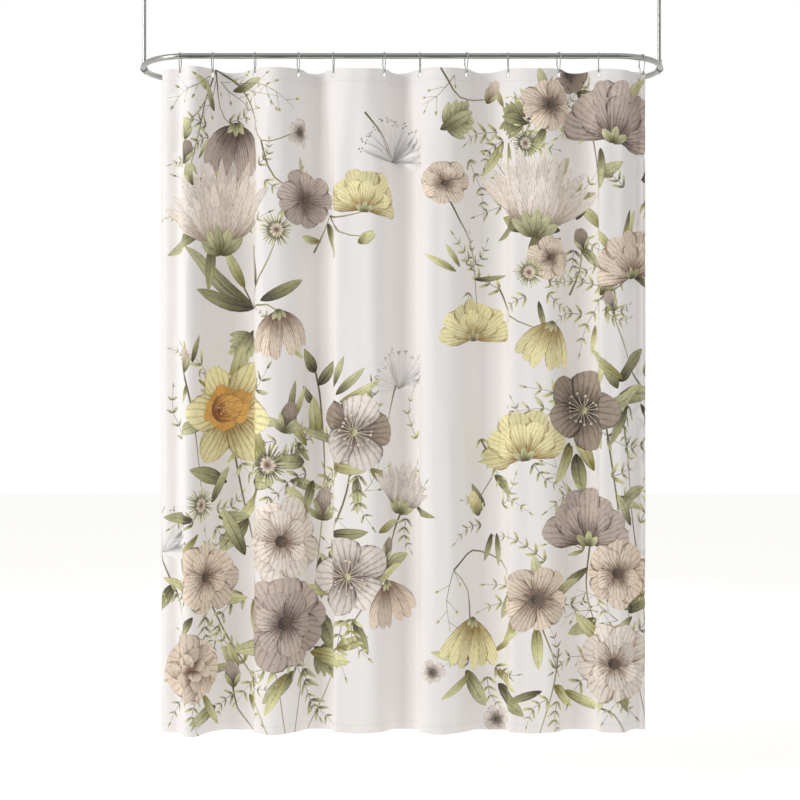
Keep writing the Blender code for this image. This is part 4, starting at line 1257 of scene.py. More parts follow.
    p.bud(0.13, 0.17, 0.026, "sage")
    p.bud(0.13, 0.235, 0.028, "taupe", 10)
    p.bud(0.145, 0.295, 0.026, "sage", -8)
    p.bell(0.30, 0.225, 0.068, "mauve", 6)
    p.cosmos(0.54, 0.175, 0.036, "pearl", 7)
    p.protea(0.24, 0.385, 0.112, "cream", -8)
    p.thistle(0.465, 0.445, 0.040)
    p.cosmos(0.56, 0.36, 0.080, "mauve", 9, squash=0.85)
    p.poppy(0.785, 0.345, 0.058, "yellow", 8)
    p.bud(0.785, 0.465, 0.022, "sprig", 60)
    p.umbel(0.89, 0.20, 0.055, "pearl", 10)
    p.bud(1.24, 0.055, 0.028, "beige", 30)
    p.cosmos(1.42, 0.10, 0.070, "beige", 9, squash=0.9)
    p.anemone(1.50, 0.005, 0.050, "taupe", 7)
    p.poppy(1.66, 0.13, 0.088, "mauve", 12)
    p.thistle(1.35, 0.205, 0.034, "olive")
    p.anemone(1.075, 0.315, 0.064, "beige", 7, squash=0.8)
    p.protea(1.39, 0.345, 0.104, "cream", 8)
    p.bud(1.535, 0.465, 0.028, "taupe", -12)
    p.anemone(1.42, 0.52, 0.056, "beige", 7)
    p.thistle(1.36, 0.56, 0.036)
    p.poppy(1.71, 0.52, 0.066, "beige", -10)
    p.bell(0.48, 0.735, 0.058, "beige", -8)
    p.bud(1.64, 0.64, 0.024, "mauve", -20)
    p.bud(1.795, 0.66, 0.026, "beige", 5)
    p.poppy(1.17, 0.70, 0.058, "yellow", -6)
    p.bell(1.41, 0.765, 0.056, "yellow", 14)
    p.umbel(0.895, 0.835, 0.048, "pearl", -12)
    p.bud(0.12, 0.80, 0.030, "beige", -10)
    p.umbel(0.03, 1.28, 0.055, "pearl")
    p.thistle(0.18, 1.20, 0.042)
    p.thistle(0.44, 1.09, 0.048, "olive")
    p.bud(0.50, 0.96, 0.036, "taupe", 20, leaves=4)
    p.daffodil(0.29, 0.95, 0.140)
    p.hellebore(0.75, 1.00, 0.105, "pearl", "taupe", 12)
    p.bud(0.63, 1.20, 0.038, "mauve", 8, leaves=4)
    p.protea(0.92, 1.16, 0.062, "pearl", 14)
    p.bud(0.855, 1.325, 0.028, "taupe", 28)
    p.hellebore(0.73, 1.40, 0.108, "pearl", "", -14)
    p.bell(0.87, 1.48, 0.056, "beige", -18)
    p.anemone(0.20, 1.40, 0.092, "beige", 8)
    p.anemone(0.48, 1.30, 0.108, "cream", 9, 14)
    p.anemone(0.49, 1.525, 0.118, "mauve", 9, -10)
    p.rose(0.14, 1.65, 0.086, "beige")
    p.bud(0.295, 1.675, 0.030, "mauve", -6)
    p.poppy(1.34, 1.02, 0.070, "yellow", -10)
    p.hellebore(1.54, 0.94, 0.110, "taupe", "", 20)
    p.bud(1.18, 1.20, 0.030, "yellow", -24)
    p.poppy(1.56, 1.25, 0.080, "mauve", 6)
    p.anemone(1.66, 1.39, 0.092, "beige", 8)
    p.cosmos(1.38, 1.46, 0.088, "beige", 9, squash=0.88)
    p.bell(1.16, 1.59, 0.060, "yellow", 10)
    p.anemone(1.65, 1.64, 0.104, "cream", 9, 8)
    p.cosmos(1.245, 1.80, 0.034, "pearl", 7)
    p.cosmos(1.04, 1.66, 0.030, "pearl", 7)
    return p.shapes


# ---------------------------------------------------------------- cloth pieces


def slot_places(cloth):
    """The buttonhole slots as (left, right, top, bottom) on the flat cloth."""
    margin = (cloth.width - cloth.hole_pitch * (len(HOOK_NODES) - 1)) / 2
    half = cloth.slot_width / 2
    low = cloth.slot_top + cloth.slot_height
    middles = [margin + cloth.hole_pitch * k for k in range(len(HOOK_NODES))]
    return [(u - half, u + half, cloth.slot_top, low) for u in middles]


def inside(places, outline):
    """Which flat places lie inside a closed outline."""
    x, y = places[:, 0, None], places[:, 1, None]
    a, b = outline, np.roll(outline, -1, axis=0)
    spans = (a[:, 1] > y) != (b[:, 1] > y)
    rise = np.where(b[:, 1] == a[:, 1], 1.0, b[:, 1] - a[:, 1])
    crossing = a[:, 0] + (y - a[:, 1]) * (b[:, 0] - a[:, 0]) / rise
    return ((spans & (x < crossing)).sum(axis=1) % 2).astype(bool)


def seen_edges(loops):
    """Edges of the closed outlines that aren't wholly under later ones, as (starts, ends)."""
    starts = np.concatenate(loops)
    ends = np.concatenate([np.roll(loop, -1, axis=0) for loop in loops])
    samples = np.stack([starts, (starts + ends) / 2, ends], axis=1).reshape(-1, 2)
    owner = np.repeat(np.arange(len(loops)), [3 * len(loop) for loop in loops])
    hidden = np.zeros(len(samples), bool)
    order = np.argsort(samples[:, 1])
    sorted_v = samples[order, 1]
    for index, loop in enumerate(loops):
        low, high = np.searchsorted(sorted_v, (loop[:, 1].min(), loop[:, 1].max()))
        near = order[low:high]
        u = samples[near, 0]
        near = near[(owner[near] < index) & ~hidden[near] & (u > loop[:, 0].min()) & (u < loop[:, 0].max())]
        hidden[near[inside(samples[near], loop)]] = True
    seen = ~hidden.reshape(-1, 3).all(axis=1)
    return starts[seen], ends[seen]


def panel_mesh(cloth, shapes):
    """The flat cloth cut into triangles along its folds, its print and its slots.

    Returns its points, its triangles and, for each triangle, the topmost shape or -1.
    """
    columns = np.linspace(0, cloth.width, round(cloth.width / cloth.column) + 1)
    edge = 0.06
    fine = np.arange(0, edge, 0.006)
    rows = np.concatenate([fine, np.linspace(edge, cloth.height - edge, 54), cloth.height - fine[::-1]])
    loops = [outline for outline, *_ in shapes]
    loops += [np.array([(a, lo), (b, lo), (b, hi), (a, hi)]) for a, b, lo, hi in slot_places(cloth)]
    grid = np.array([(u, v) for v in rows for u in columns])
    starts, ends = seen_edges(loops)
    corners, ids = np.unique(np.concatenate([starts, ends]).round(6), axis=0, return_inverse=True)
    ids = ids.reshape(2, -1).T + len(grid)
    edges = ids[ids[:, 0] != ids[:, 1]].tolist()
    points = [Vector(place) for place in np.concatenate([grid, corners]).tolist()]
    flat, _, triangles, *_ = delaunay_2d_cdt(points, edges, [], 0, 1e-6, False)
    flat, triangles = np.array([tuple(place) for place in flat]), np.array(triangles)
    middles = flat[triangles].mean(axis=1)
    order = np.argsort(middles[:, 1])
    sorted_v = middles[order, 1]
    topmost = np.full(len(triangles), -1)
    for index, loop in enumerate(loops):
        low, high = np.searchsorted(sorted_v, (loop[:, 1].min(), loop[:, 1].max()))
        near = order[low:high]
        near = near[(middles[near, 0] > loop[:, 0].min()) & (middles[near, 0] < loop[:, 0].max())]
        topmost[near[inside(middles[near], loop)]] = index
    kept = topmost < len(shapes)
    triangles, topmost = triangles[kept], topmost[kept]
    a, b, c = (flat[triangles[:, k]] for k in range(3))
    area = (b[:, 0] - a[:, 0]) * (c[:, 1] - a[:, 1]) - (b[:, 1] - a[:, 1]) * (c[:, 0] - a[:, 0])
    triangles[area > 0] = triangles[area > 0][:, ::-1]
    used, triangles = np.unique(triangles, return_inverse=True)
    return flat[used], triangles.reshape(-1, 3), topmost


PANEL_LIMIT = 197000  # triangles of the cloth's front and back


def build_panel(folds, cloth, ink):
    """The printed cloth itself: a front, a back and a rim round its edges and slots."""
    shapes = paint(cloth, ink)
    flat, triangles, topmost = panel_mesh(cloth, shapes)
    count = len(triangles)
    corner = flat[triangles]
    deep, wash = np.zeros((count, 3, 4)), np.zeros((count, 3, 4))
    form, petal = np.zeros((count, 3, 3)), np.zeros((count, 3, 2))
    deep[..., :3], wash[..., :3] = cloth.ground, cloth.ground
    for index in np.unique(topmost[topmost >= 0]):
        _, (origin, along, across, bend), shape_form, name, leafy, cover = shapes[index]
        here = topmost == index
        inverse = np.linalg.inv(np.stack([along, across], axis=1))
        p, q = np.moveaxis((corner[here] - origin) @ inverse.T, -1, 0)
        petal[here] = np.stack([p, q - bend * p * p], axis=-1)
        # no two petals take up the wash alike
        tone = 0.84 + 0.28 * (shape_form[2] * 7.13 % 1)
        deep[here] = (*getattr(ink, name), cover)
        wash[here] = (*[c * tone for c in getattr(ink, name + "_wash")], leafy)
        form[here] = shape_form
    deep_back = deep * (1, 1, 1, ink.strike)
    baked = corner / (cloth.width * 2, cloth.height)
    corners = {
        "flat": ("UV", corner, corner),
        "petal": ("UV", petal, petal),
        "OFBake": ("UV", baked, baked + (0.5, 0)),
        "ink": ("FLOAT_COLOR", deep, deep_back),
        "wash": ("FLOAT_COLOR", wash, wash),
        "form": ("FLOAT_VECTOR", form, form),
    }
    finish = printed_polyester(cloth, ink)
    if 2 * count > PANEL_LIMIT:
        raise RuntimeError(f"the cloth has {2 * count} triangles without its rim")
    return two_sided("curtain_cloth", folds, flat, triangles, 0.0, cloth.thickness, finish, corners)


def turned_in(depth, near, layer):
    """Offsets of a hem behind the cloth, which bulges where the cloth turns over at its edge."""

    def offsets(u, v):
        away = np.clip(near(u, v), 0, None)
        return -layer - 0.0006 * np.exp(-away / 0.002) * (away < depth)

    return offsets


def build_hems(folds, cloth):
    """Header with its slots, bottom hem and two side hems, sewn behind the cloth."""
    finish = plain_polyester(cloth)
    columns = np.linspace(0, cloth.width, round(cloth.width / cloth.column) + 1)
    # the header's slots are cut a little larger than the cloth's, so the wire clears both layers at rest
    ease = 0.0007
    slots = [(a - ease, b + ease, top - ease, low + ease) for a, b, top, low in slot_places(cloth)]
    cuts = sorted({u for left, right, _, _ in slots for u in (left, right)})
    header_columns = np.array(sorted([c for c in columns if min(abs(c - k) for k in cuts) > 0.0012] + cuts))
    top, bottom = slots[0][2:]
    header_rows = [0.0004, 0.002, 0.005, top, top + 0.007, bottom, 0.028, 0.032, cloth.header]
    hem_rows = cloth.height - np.array([0.0004, 0.002, 0.005, 0.010, 0.015, 0.020, cloth.hem])
    levels = np.linspace(cloth.header + 0.001, cloth.height - cloth.hem - 0.001, 74)
    thickness = cloth.thickness * 0.9
    layer = cloth.thickness + 0.0003
    header = strip("header_hem", folds, header_columns, header_rows,
                   turned_in(cloth.header, lambda u, v: v, layer), thickness, finish, slots)
    low = strip("lower_hem", folds, columns, np.sort(hem_rows),
                turned_in(cloth.hem, lambda u, v: cloth.height - v, layer), thickness, finish)
    sides = []
    for name, start, away in (
        ("left_side_hem", 0.0004, lambda u, v: u),
        ("right_side_hem", cloth.width - cloth.side_hem, lambda u, v: cloth.width - u),
    ):
        across = np.linspace(start, start + cloth.side_hem - 0.0004, 5)
        sides.append(strip(name, folds, across, levels,
                           turned_in(cloth.side_hem, away, layer), thickness, finish))
    return header, low, *sides


def repeat_on_points(name, places, turns, stamp, finish):
    """Copies of a small stamp mesh on places, by Geometry Nodes, made into a plain mesh."""
    carrier = bpy.data.meshes.new(name)
    carrier.from_pydata([tuple(p) for p in places], [], [])
    turn = carrier.attributes.new("turn", "FLOAT_VECTOR", "POINT")
    turn.data.foreach_set("vector", np.asarray(turns, np.float32).ravel())
    made = bpy.data.objects.new(name, carrier)
    bpy.context.scene.collection.objects.link(made)
    tree = bpy.data.node_groups.new(name + "_repeat", "GeometryNodeTree")
    for socket, kind, way in (
        ("Points", "NodeSocketGeometry", "INPUT"),
        ("Stamp", "NodeSocketObject", "INPUT"),
        ("Size", "NodeSocketFloat", "INPUT"),
        ("Variation", "NodeSocketFloat", "INPUT"),
        ("Seed", "NodeSocketInt", "INPUT"),
        ("Finish", "NodeSocketMaterial", "INPUT"),
        ("Mesh", "NodeSocketGeometry", "OUTPUT"),
    ):
        tree.interface.new_socket(socket, in_out=way, socket_type=kind)
    given = node(tree, "NodeGroupInput").outputs
    turned = node(tree, "GeometryNodeInputNamedAttribute", {"Name": "turn"}, data_type="FLOAT_VECTOR")
    least = node(tree, "ShaderNodeMath", {0: given["Size"], 1: given["Variation"]}, operation="SUBTRACT")
    most = node(tree, "ShaderNodeMath", {0: given["Size"], 1: given["Variation"]}, operation="ADD")
    random_size = node(tree, "FunctionNodeRandomValue", data_type="FLOAT")
    for socket in random_size.inputs:
        source = {"Min": least.outputs[0], "Max": most.outputs[0], "Seed": given["Seed"]}.get(socket.name)
        if source is not None and socket.enabled:
            tree.links.new(source, socket)
    size = next(socket for socket in random_size.outputs if socket.enabled)
    source = node(tree, "GeometryNodeObjectInfo", {"Object": given["Stamp"]}, transform_space="ORIGINAL")
    copies = node(
        tree,
        "GeometryNodeInstanceOnPoints",
        {
            "Points": given["Points"],
            "Instance": source.outputs["Geometry"],
            "Rotation": turned.outputs["Attribute"],
            "Scale": size,
        },
    )
    real = node(tree, "GeometryNodeRealizeInstances", {"Geometry": copies.outputs[0]})
    given_finish = {"Geometry": real.outputs[0], "Material": given["Finish"]}
    painted = node(tree, "GeometryNodeSetMaterial", given_finish)
    node(tree, "NodeGroupOutput", {0: painted.outputs[0]})
    step = made.modifiers.new("repeat", "NODES")
    step.node_group = tree
    values = {"Stamp": stamp, "Size": 1.0, "Variation": 0.06, "Seed": SEED, "Finish": finish}
    for item in tree.interface.items_tree:
        if item.in_out == "INPUT" and item.name in values:
            step[item.identifier] = values[item.name]
    seen = made.evaluated_get(bpy.context.evaluated_depsgraph_get())
    mesh = bpy.data.meshes.new_from_object(seen)
    made.modifiers.remove(step)
    made.data = mesh
    bpy.data.meshes.remove(carrier)
    bpy.data.node_groups.remove(tree)
    if not mesh.vertices:
        raise RuntimeError(f"{name}: nothing was repeated")
    return made


def stitch_stamp(length, thick):
    """One stitch: a low arch of thread, with its ends down in the cloth."""
    turn = np.linspace(0, math.pi, 7)
    path = np.stack([-np.cos(turn) * length / 2, 0 * turn, np.sin(turn) * thick * 0.7 - thick * 0.2], axis=1)
    points, faces, _ = sweep(path, thick / 2, 5)
    return add_piece("stitch_stamp", points, faces, None)


def frame_turns(along, front):
    """XYZ turns in radians that take a stamp's X along and its Z to the front."""
    along = along - front * (along * front).sum(axis=1, keepdims=True)
    along /= np.linalg.norm(along, axis=1, keepdims=True)
    side = np.cross(front, along)
    y = np.arcsin(np.clip(-along[:, 2], -1, 1))
    x = np.arctan2(side[:, 2], front[:, 2])
    z = np.arctan2(along[:, 1], along[:, 0])
    return np.stack([x, y, z], axis=1)


def hung_stitches(name, folds, flat, ahead, lift, length, thick, finish):
    """Stitches on flat places of the cloth's front, each pointing at its flat place ahead."""
    flat, ahead = np.array(flat), np.array(ahead)
    place, front = folds.hang(flat, lift)
    on, _ = folds.hang(flat + ahead * 0.001, lift)
    stamp = stitch_stamp(length, thick)
    made = repeat_on_points(name, place, frame_turns(on - place, front), stamp, finish)
    bpy.data.objects.remove(stamp)
    made.data.shade_smooth()
    return made


def build_seams(folds, cloth, finish):
    """Lockstitch rows that hold the header, the hem and the side hems."""
    pitch, length = 0.0042, 0.0031
    header, low = cloth.header - 0.003, cloth.height - cloth.hem + 0.003
    flat, ahead = [], []
    for v in (header, low):
        for u in np.arange(0.006, cloth.width - 0.006, pitch):
            flat.append((u, v))
            ahead.append((1, 0))
    for u in (cloth.side_hem - 0.002, cloth.width - cloth.side_hem + 0.002):
        for v in np.arange(header + pitch, low - pitch, pitch):
            flat.append((u, v))
            ahead.append((0, 1))
    lift = cloth.thickness / 2 + 0.0001
    return hung_stitches("seam_stitches", folds, flat, ahead, lift, length, 0.0004, finish)


def build_buttonholes(folds, cloth, finish):
    """Satin stitch round each slot, front and back."""
    border, pitch = 0.0021, 0.0006
    made = []
    for k, (left, right, top, bottom) in enumerate(slot_places(cloth)):
        flat, ahead = [], []
        for v in np.arange(top - border * 0.4, bottom + border * 0.4, pitch):
            flat += [(left - border / 2 - 0.0003, v), (right + border / 2 + 0.0003, v)]
            ahead += [(1, 0), (1, 0)]
        for u in np.arange(left - border * 0.4, right + border * 0.4, pitch):
            flat += [(u, top - border / 2), (u, bottom + border / 2)]
            ahead += [(0, 1), (0, 1)]
        lift = [cloth.thickness / 2] * len(flat) + [-cloth.thickness * 1.7] * len(flat)
        made.append(
            hung_stitches(
                f"slot_stitches_{k + 1:02d}",
                folds,
                flat + flat,
                ahead + ahead,
                np.array(lift),
                border,
                0.0007,
                finish,
            )
        )
    return made


# ---------------------------------------------------------------- metal pieces


def hook_line(hooks):
    """The wire's centre line as (through the cloth, up, beside) from the rail's centre."""
    wire, rail = hooks.wire / 2, RAIL_DIAMETER / 2
    crown = np.array([0, rail + hooks.play + wire - hooks.crown])
    foot = np.array([0, wire + hooks.foot - hooks.drop])
    lean = math.asin((hooks.crown - hooks.foot) / (crown[1] - foot[1]))
    out = np.array([math.cos(lean), -math.sin(lean)])
    high, low = crown + out * hooks.crown, foot + out * hooks.foot

    def arc(centre, radius, start, stop, steps):
        turns = np.linspace(start, stop, steps + 1)
        return [centre + np.array([math.cos(t), math.sin(t)]) * radius for t in turns]

    back_leg = [high + (low - high) * s for s in (0.44, 0.42, 0.3, 0.15)]
    path = back_leg + arc(crown, hooks.crown, -lean, math.pi + lean, 22)
    path += [path[-1] + (foot - out * (hooks.foot, -hooks.foot) - path[-1]) * s for s in (0.3, 0.7)]
    path += arc(foot, hooks.foot, math.pi + lean, 2 * math.pi - lean, 16)
    beside = out * (hooks.wire + 0.0003)
    path += [low + (high - low) * 0.2, low + (high - low) * 0.38]
    catch = ((0.43, 0.3), (0.48, 0.8), (0.53, 1), (0.68, 1), (0.70, 1))
    path += [low + (high - low) * share + beside * aside for share, aside in catch]
    return np.array(path)


def hook_turn(index):
    """Degrees that a hook is turned about the vertical: free ones one way or the other."""
    if index == len(HOOK_NODES) - 1:
        bend = settings("curtain_rail").bend
        share = (HOOK_X[index] - (TUBE_X_RIGHT - bend)) / bend
        half = -RAIL_Y
        return -math.degrees(math.atan(half / bend * share / math.sqrt(1 - share * share)))
    return 8.0 if index % 2 == 0 else -20.0


def build_hook(index, hooks, finish):
    line = hook_line(hooks)
    turn = math.radians(HOOK_TURNS[index])
    through = np.array([math.sin(turn), math.cos(turn), 0])
    x, y = HOOK_X[index], HOOK_Y[index]
    path = np.array([(x, y, RAIL_CENTRE_Z) + through * p + np.array([0, 0, q]) for p, q in line])
    radius = np.full(len(path), hooks.wire / 2)
    radius[0] = radius[-1] = hooks.wire * 0.36
    return add_metal(f"wire_hook_{index + 1:02d}", sweep(path, radius, 14), finish, 50)


def ring_line(rail, way, steps=36):
    """Half of the oval ring's centre line; way is -1 for its near half and 1 for its far half."""
    half = -RAIL_Y
    turns = np.linspace(0, math.pi / 2, steps + 1)
    x = -TUBE_X - rail.bend + rail.bend * np.cos(turns)
    y = way * half * np.sin(turns)
    left = np.stack([-x, np.where(turns == 0, way * 0.0003, y)], axis=1)
    straight = np.linspace(left[-1][0], -left[-1][0], 26)[1:-1]
    middle = np.stack([straight, np.full(len(straight), way * half)], axis=1)
    right = left[::-1] * (-1, 1)
    line = np.concatenate([left, middle, right])
    return np.column_stack([line, np.full(len(line), RAIL_CENTRE_Z)])


def build_half_ring(name, rail, way, finish):
    outer = RAIL_DIAMETER / 2
    return add_metal(name, pipe(ring_line(rail, way), outer, outer - rail.wall, 32), finish)


def build_fitting(name, side, rail, finish):
    """The joint at a ring's end: a sleeve round both half tubes with a socket for the ceiling tube."""
    centre = np.array([side * -TUBE_X, 0.0, RAIL_CENTRE_Z])
    reach = np.linspace(-rail.sleeve_length / 2, rail.sleeve_length / 2, 13)
    half = -RAIL_Y
    lean = rail.bend * (1 - np.sqrt(np.clip(1 - (reach / half) ** 2, 0, 1)))
    path = np.column_stack([centre[0] - side * lean, reach, np.full(len(reach), centre[2])])
    radius = np.full(len(reach), RAIL_DIAMETER / 2 + rail.sleeve_wall)
    radius[0] = radius[-1] = radius[0] - 0.0006
    radius[1] = radius[-2] = radius[1] - 0.0001
    made = add_metal(name, sweep(path, radius, 36), finish)
    tube = (TUBE_HIGH.x - TUBE_LOW.x) / 2
    wall = tube + 0.0003 + rail.socket_wall
    top = centre[2] + 0.028
    socket = [(0, centre[2]), (wall, centre[2]), (wall, top - 0.0006), (wall - 0.0006, top), (0, top)]
    cut(made, add_metal(name + "_socket", lathe(socket, 36, centre), finish), "UNION")
    bore = np.linspace(-rail.sleeve_length, rail.sleeve_length, 25)
    lean = rail.bend * (1 - np.sqrt(np.clip(1 - (bore / half) ** 2, 0, 1)))
    path = np.column_stack([centre[0] - side * lean, bore, np.full(len(bore), centre[2])])
    cut(made, add_metal(name + "_bore", sweep(path, RAIL_DIAMETER / 2 + 0.0003, 32), finish))
    floor = centre[2] + 0.0122
    well = [(0, floor), (tube + 0.0003, floor), (tube + 0.0003, top + 0.01), (0, top + 0.01)]
    cut(made, add_metal(name + "_well", lathe(well, 32, centre), finish))
    for way in (-1, 1):
        at = centre + (0, way * 0.0085, 0)
        hole = [(0, at[2] - 0.03), (0.0023, at[2] - 0.03), (0.0023, at[2]), (0, at[2])]
        cut(made, add_metal(f"{name}_hole", lathe(hole, 20, at), finish))
    made.data.set_sharp_from_angle(angle=math.radians(35))
    return made


def build_set_screw(name, node_name, finish):
    """A set screw with a hexagon socket in its outer end."""
    low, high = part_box(node_name)
    centre = (low + high) / 2
    radius = (high.x - low.x) / 2
    shoulder = high.z - radius * 0.4
    profile = [(0, high.z), (radius * 0.6, high.z), (radius, shoulder), (radius, low.z), (0, low.z)]
    made = add_metal(name, lathe(profile[::-1], 24, centre), finish)
    mouth, floor = low.z - 0.001, low.z + 0.0015
    well = [(0, mouth), (radius * 0.55, mouth), (radius * 0.55, floor), (0, floor)]
    return cut(made, add_metal(name + "_socket", lathe(well, 6, centre), finish))


def build_ceiling_tube(name, node_name, finish):
    low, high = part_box(node_name)
    centre = (low + high) / 2
    path = [(centre.x, centre.y, z) for z in np.linspace(low.z, high.z, 9)]
    radius = (high.x - low.x) / 2
    return add_metal(name, pipe(path, radius, radius - 0.001, 28), finish)


def screw_spots(rail, centre):
    turns = [math.pi / 2 + 2 * math.pi * k / rail.screws for k in range(rail.screws)]
    return [
        (centre.x + rail.screw_circle * math.cos(t), centre.y + rail.screw_circle * math.sin(t), 0.0)
        for t in turns
    ]


def build_flange(name, node_name, rail, finish):
    """A turned plate with a neck round the tube and countersunk screw holes."""
    low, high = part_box(node_name)
    centre = (low + high) / 2
    rim, thick, edge = (high.x - low.x) / 2, 0.005, 0.002
    bore = (TUBE_HIGH.x - TUBE_LOW.x) / 2 + 0.0003
    neck = bore + rail.neck_wall
    top, face = high.z, high.z - thick
    rounding = [(rim - edge + edge * math.cos(t), face + edge - edge * math.sin(t))
                for t in np.linspace(0, math.pi / 2, 7)]
    fillet = [(neck + 0.002 - 0.002 * math.sin(t), face - 0.002 + 0.002 * math.cos(t))
              for t in np.linspace(0, math.pi / 2, 6)]
    profile = [(bore, top), (rim, top), *rounding, *fillet, (neck, low.z + 0.0006), (neck - 0.0006, low.z),
               (bore, low.z), (bore, top)]
    points, faces, marks = lathe(profile[::-1], 64, centre)
    made = add_metal(name, (points, faces, marks), finish)
    weld = made.modifiers.new("weld", "WELD")
    weld.merge_threshold = 0.00001
    seen = made.evaluated_get(bpy.context.evaluated_depsgraph_get())
    mesh = bpy.data.meshes.new_from_object(seen)
    made.modifiers.remove(weld)
    made.data = mesh
    for x, y, _ in screw_spots(rail, centre):
        hole = [(0, face - 0.002), (0.0043, face - 0.002), (0.0043, face - 0.0001), (0.0023, face + 0.0022),
                (0.0023, top + 0.002), (0, top + 0.002)]
        cut(made, add_metal(name + "_hole", lathe(hole, 24, (x, y)), finish))
    made.data.set_sharp_from_angle(angle=math.radians(35))
    return made


def build_flange_screws(name, node_names, rail, finish):
    """Countersunk screws with a straight slot, repeated on the screw circle."""
    boxes = [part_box(n) for n in node_names]
    face, tip = boxes[0][0].z, boxes[0][1].z
    head = [(0, face), (0.0036, face), (0.0040, face + 0.0002), (0.0020, face + 0.0022)]
    profile = [*head, (0.0020, tip - 0.006), (0.0004, tip), (0, tip)]
    stamp = add_metal("screw_stamp", lathe(profile, 24, (0, 0)), None)
    square = ((-1, -1), (1, -1), (1, 1), (-1, 1))
    slot = [(x * 0.006, y * 0.0005, face + z * 0.0011) for z in (-1, 1) for x, y in square]
    sides = [(3, 2, 1, 0), (4, 5, 6, 7), (0, 1, 5, 4), (1, 2, 6, 5), (2, 3, 7, 6), (3, 0, 4, 7)]
    cut(stamp, add_piece("screw_slot", slot, sides, None, smooth=False))
    centre = sum((low + high for low, high in boxes), Vector()) / 2 / len(boxes)
    turns = [(0, 0, 0.7 * k) for k in range(rail.screws)]
    made = repeat_on_points(name, screw_spots(rail, centre), turns, stamp, finish)
    bpy.data.objects.remove(stamp)
    made.data.set_sharp_from_angle(angle=math.radians(35))
    return made


# ---------------------------------------------------------------- operators


TUBE_X_RIGHT = -TUBE_X
HOOK_TURNS = []
SIDES = ("left", "right")
SHARED = {}  # what one step leaves for a later one: finishes, the folds and the names of the cloth's pieces


def dress(piece, body, slot, *nodes):
    """Puts a finished piece on its body and in place of its CAD nodes. Its finish slot is not used."""
    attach(piece, body)
    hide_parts(*nodes)


def gather(piece):
    """Gives a piece of the cloth its own copy of its mesh."""
    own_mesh(piece)


def brushed_steel(rail):
    """Steel of the rail and its supports, made once. Long brush marks stretch each light into a soft band."""
    if "brushed_steel" not in SHARED:
        SHARED["brushed_steel"] = drawn_metal("brushed_steel", rail.steel, 0.24, 0.0005, 0.30)
    return SHARED["brushed_steel"]


def zinc_screws(rail):
    """Zinc of all the screws, made once."""
    if "zinc_screws" not in SHARED:
        SHARED["zinc_screws"] = drawn_metal("zinc_screws", rail.zinc, 0.34, 0.0008, 0.20)
    return SHARED["zinc_screws"]


class CurtainRailOperator(bpy.types.Operator):
    """Builds the two half tubes of the ring rail"""

    bl_idname = "curtain.rail"
    bl_label = "Ring rail"

    def execute(self, context):
        rail = settings("curtain_rail")
        for name, way in (("rail_front", -1), ("rail_rear", 1)):
            tube = build_half_ring(name + "_tube", rail, way, brushed_steel(rail))
            dress(tube, "ring_rail", "brushed_steel", name)
        return {"FINISHED"}


class CurtainFittingsOperator(bpy.types.Operator):
    """Builds the fitting at each end of the ring"""

    bl_idname = "curtain.fittings"
    bl_label = "End fittings"

    def execute(self, context):
        rail = settings("curtain_rail")
        for side, way in (("left", -1), ("right", 1)):
            fitting = build_fitting(f"end_joint_{side}", way, rail, brushed_steel(rail))
            dress(fitting, "ring_rail", "brushed_steel", f"end_fitting_{side}")
        return {"FINISHED"}


class CurtainTubesOperator(bpy.types.Operator):
    """Builds the two ceiling tubes"""

    bl_idname = "curtain.tubes"
    bl_label = "Ceiling tubes"

    def execute(self, context):
        rail = settings("curtain_rail")
        for side in SIDES:
            tube = build_ceiling_tube(f"drop_tube_{side}", f"ceiling_tube_{side}", brushed_steel(rail))
            dress(tube, "ring_rail", "brushed_steel", f"ceiling_tube_{side}")
        return {"FINISHED"}


class CurtainFlangesOperator(bpy.types.Operator):
    """Builds the two ceiling flanges"""

    bl_idname = "curtain.flanges"
    bl_label = "Ceiling flanges"

    def execute(self, context):
        rail = settings("curtain_rail")
        for side in SIDES:
            flange = build_flange(f"flange_{side}", f"ceiling_flange_{side}", rail, brushed_steel(rail))
            dress(flange, "ring_rail", "brushed_steel", f"ceiling_flange_{side}")
        return {"FINISHED"}


class CurtainSetScrewsOperator(bpy.types.Operator):
    """Builds the set screws of the end fittings"""

    bl_idname = "curtain.set_screws"
    bl_label = "Set screws"

    def execute(self, context):
        zinc = zinc_screws(settings("curtain_rail"))
        for name in sorted(n for n in frame["nodes"] if n.startswith("set_screw")):
            dress(build_set_screw(name + "_hex", name, zinc), "ring_rail", "fastener", name)
        return {"FINISHED"}


class CurtainFlangeScrewsOperator(bpy.types.Operator):
    """Builds the screws that hold each flange to the ceiling"""

    bl_idname = "curtain.flange_screws"
    bl_label = "Flange screws"

    def execute(self, context):
        rail = settings("curtain_rail")
        for side in SIDES:
            nodes = sorted(n for n in frame["nodes"] if n.startswith("flange_screw") and side in n)
            screws = build_flange_screws(f"flange_screws_{side}_set", nodes, rail, zinc_screws(rail))
            dress(screws, "ring_rail", "fastener", *nodes)
        return {"FINISHED"}


class CurtainHooksOperator(bpy.types.Operator):
    """Builds the wire hooks over the rail"""

    bl_idname = "curtain.hooks"
    bl_label = "Wire hooks"

    def execute(self, context):
        hooks = settings("curtain_hooks")
        HOOK_TURNS[:] = [hook_turn(k) for k in range(len(HOOK_NODES))]
        # drawn wire is brighter and smoother than the rail: narrow lights run down each leg
        wire = drawn_metal("spring_wire", hooks.steel, 0.20, 0.0003, 0.15)
        for index, name in enumerate(HOOK_NODES):
            dress(build_hook(index, hooks, wire), name, "spring_wire", name)
        return {"FINISHED"}


def sew_on(pieces):
    """Pieces sewn to the cloth get their own meshes, as the cloth does, and are kept by name."""
    for piece in pieces:
        gather(piece)
        SHARED["sewn"].append(piece.name)


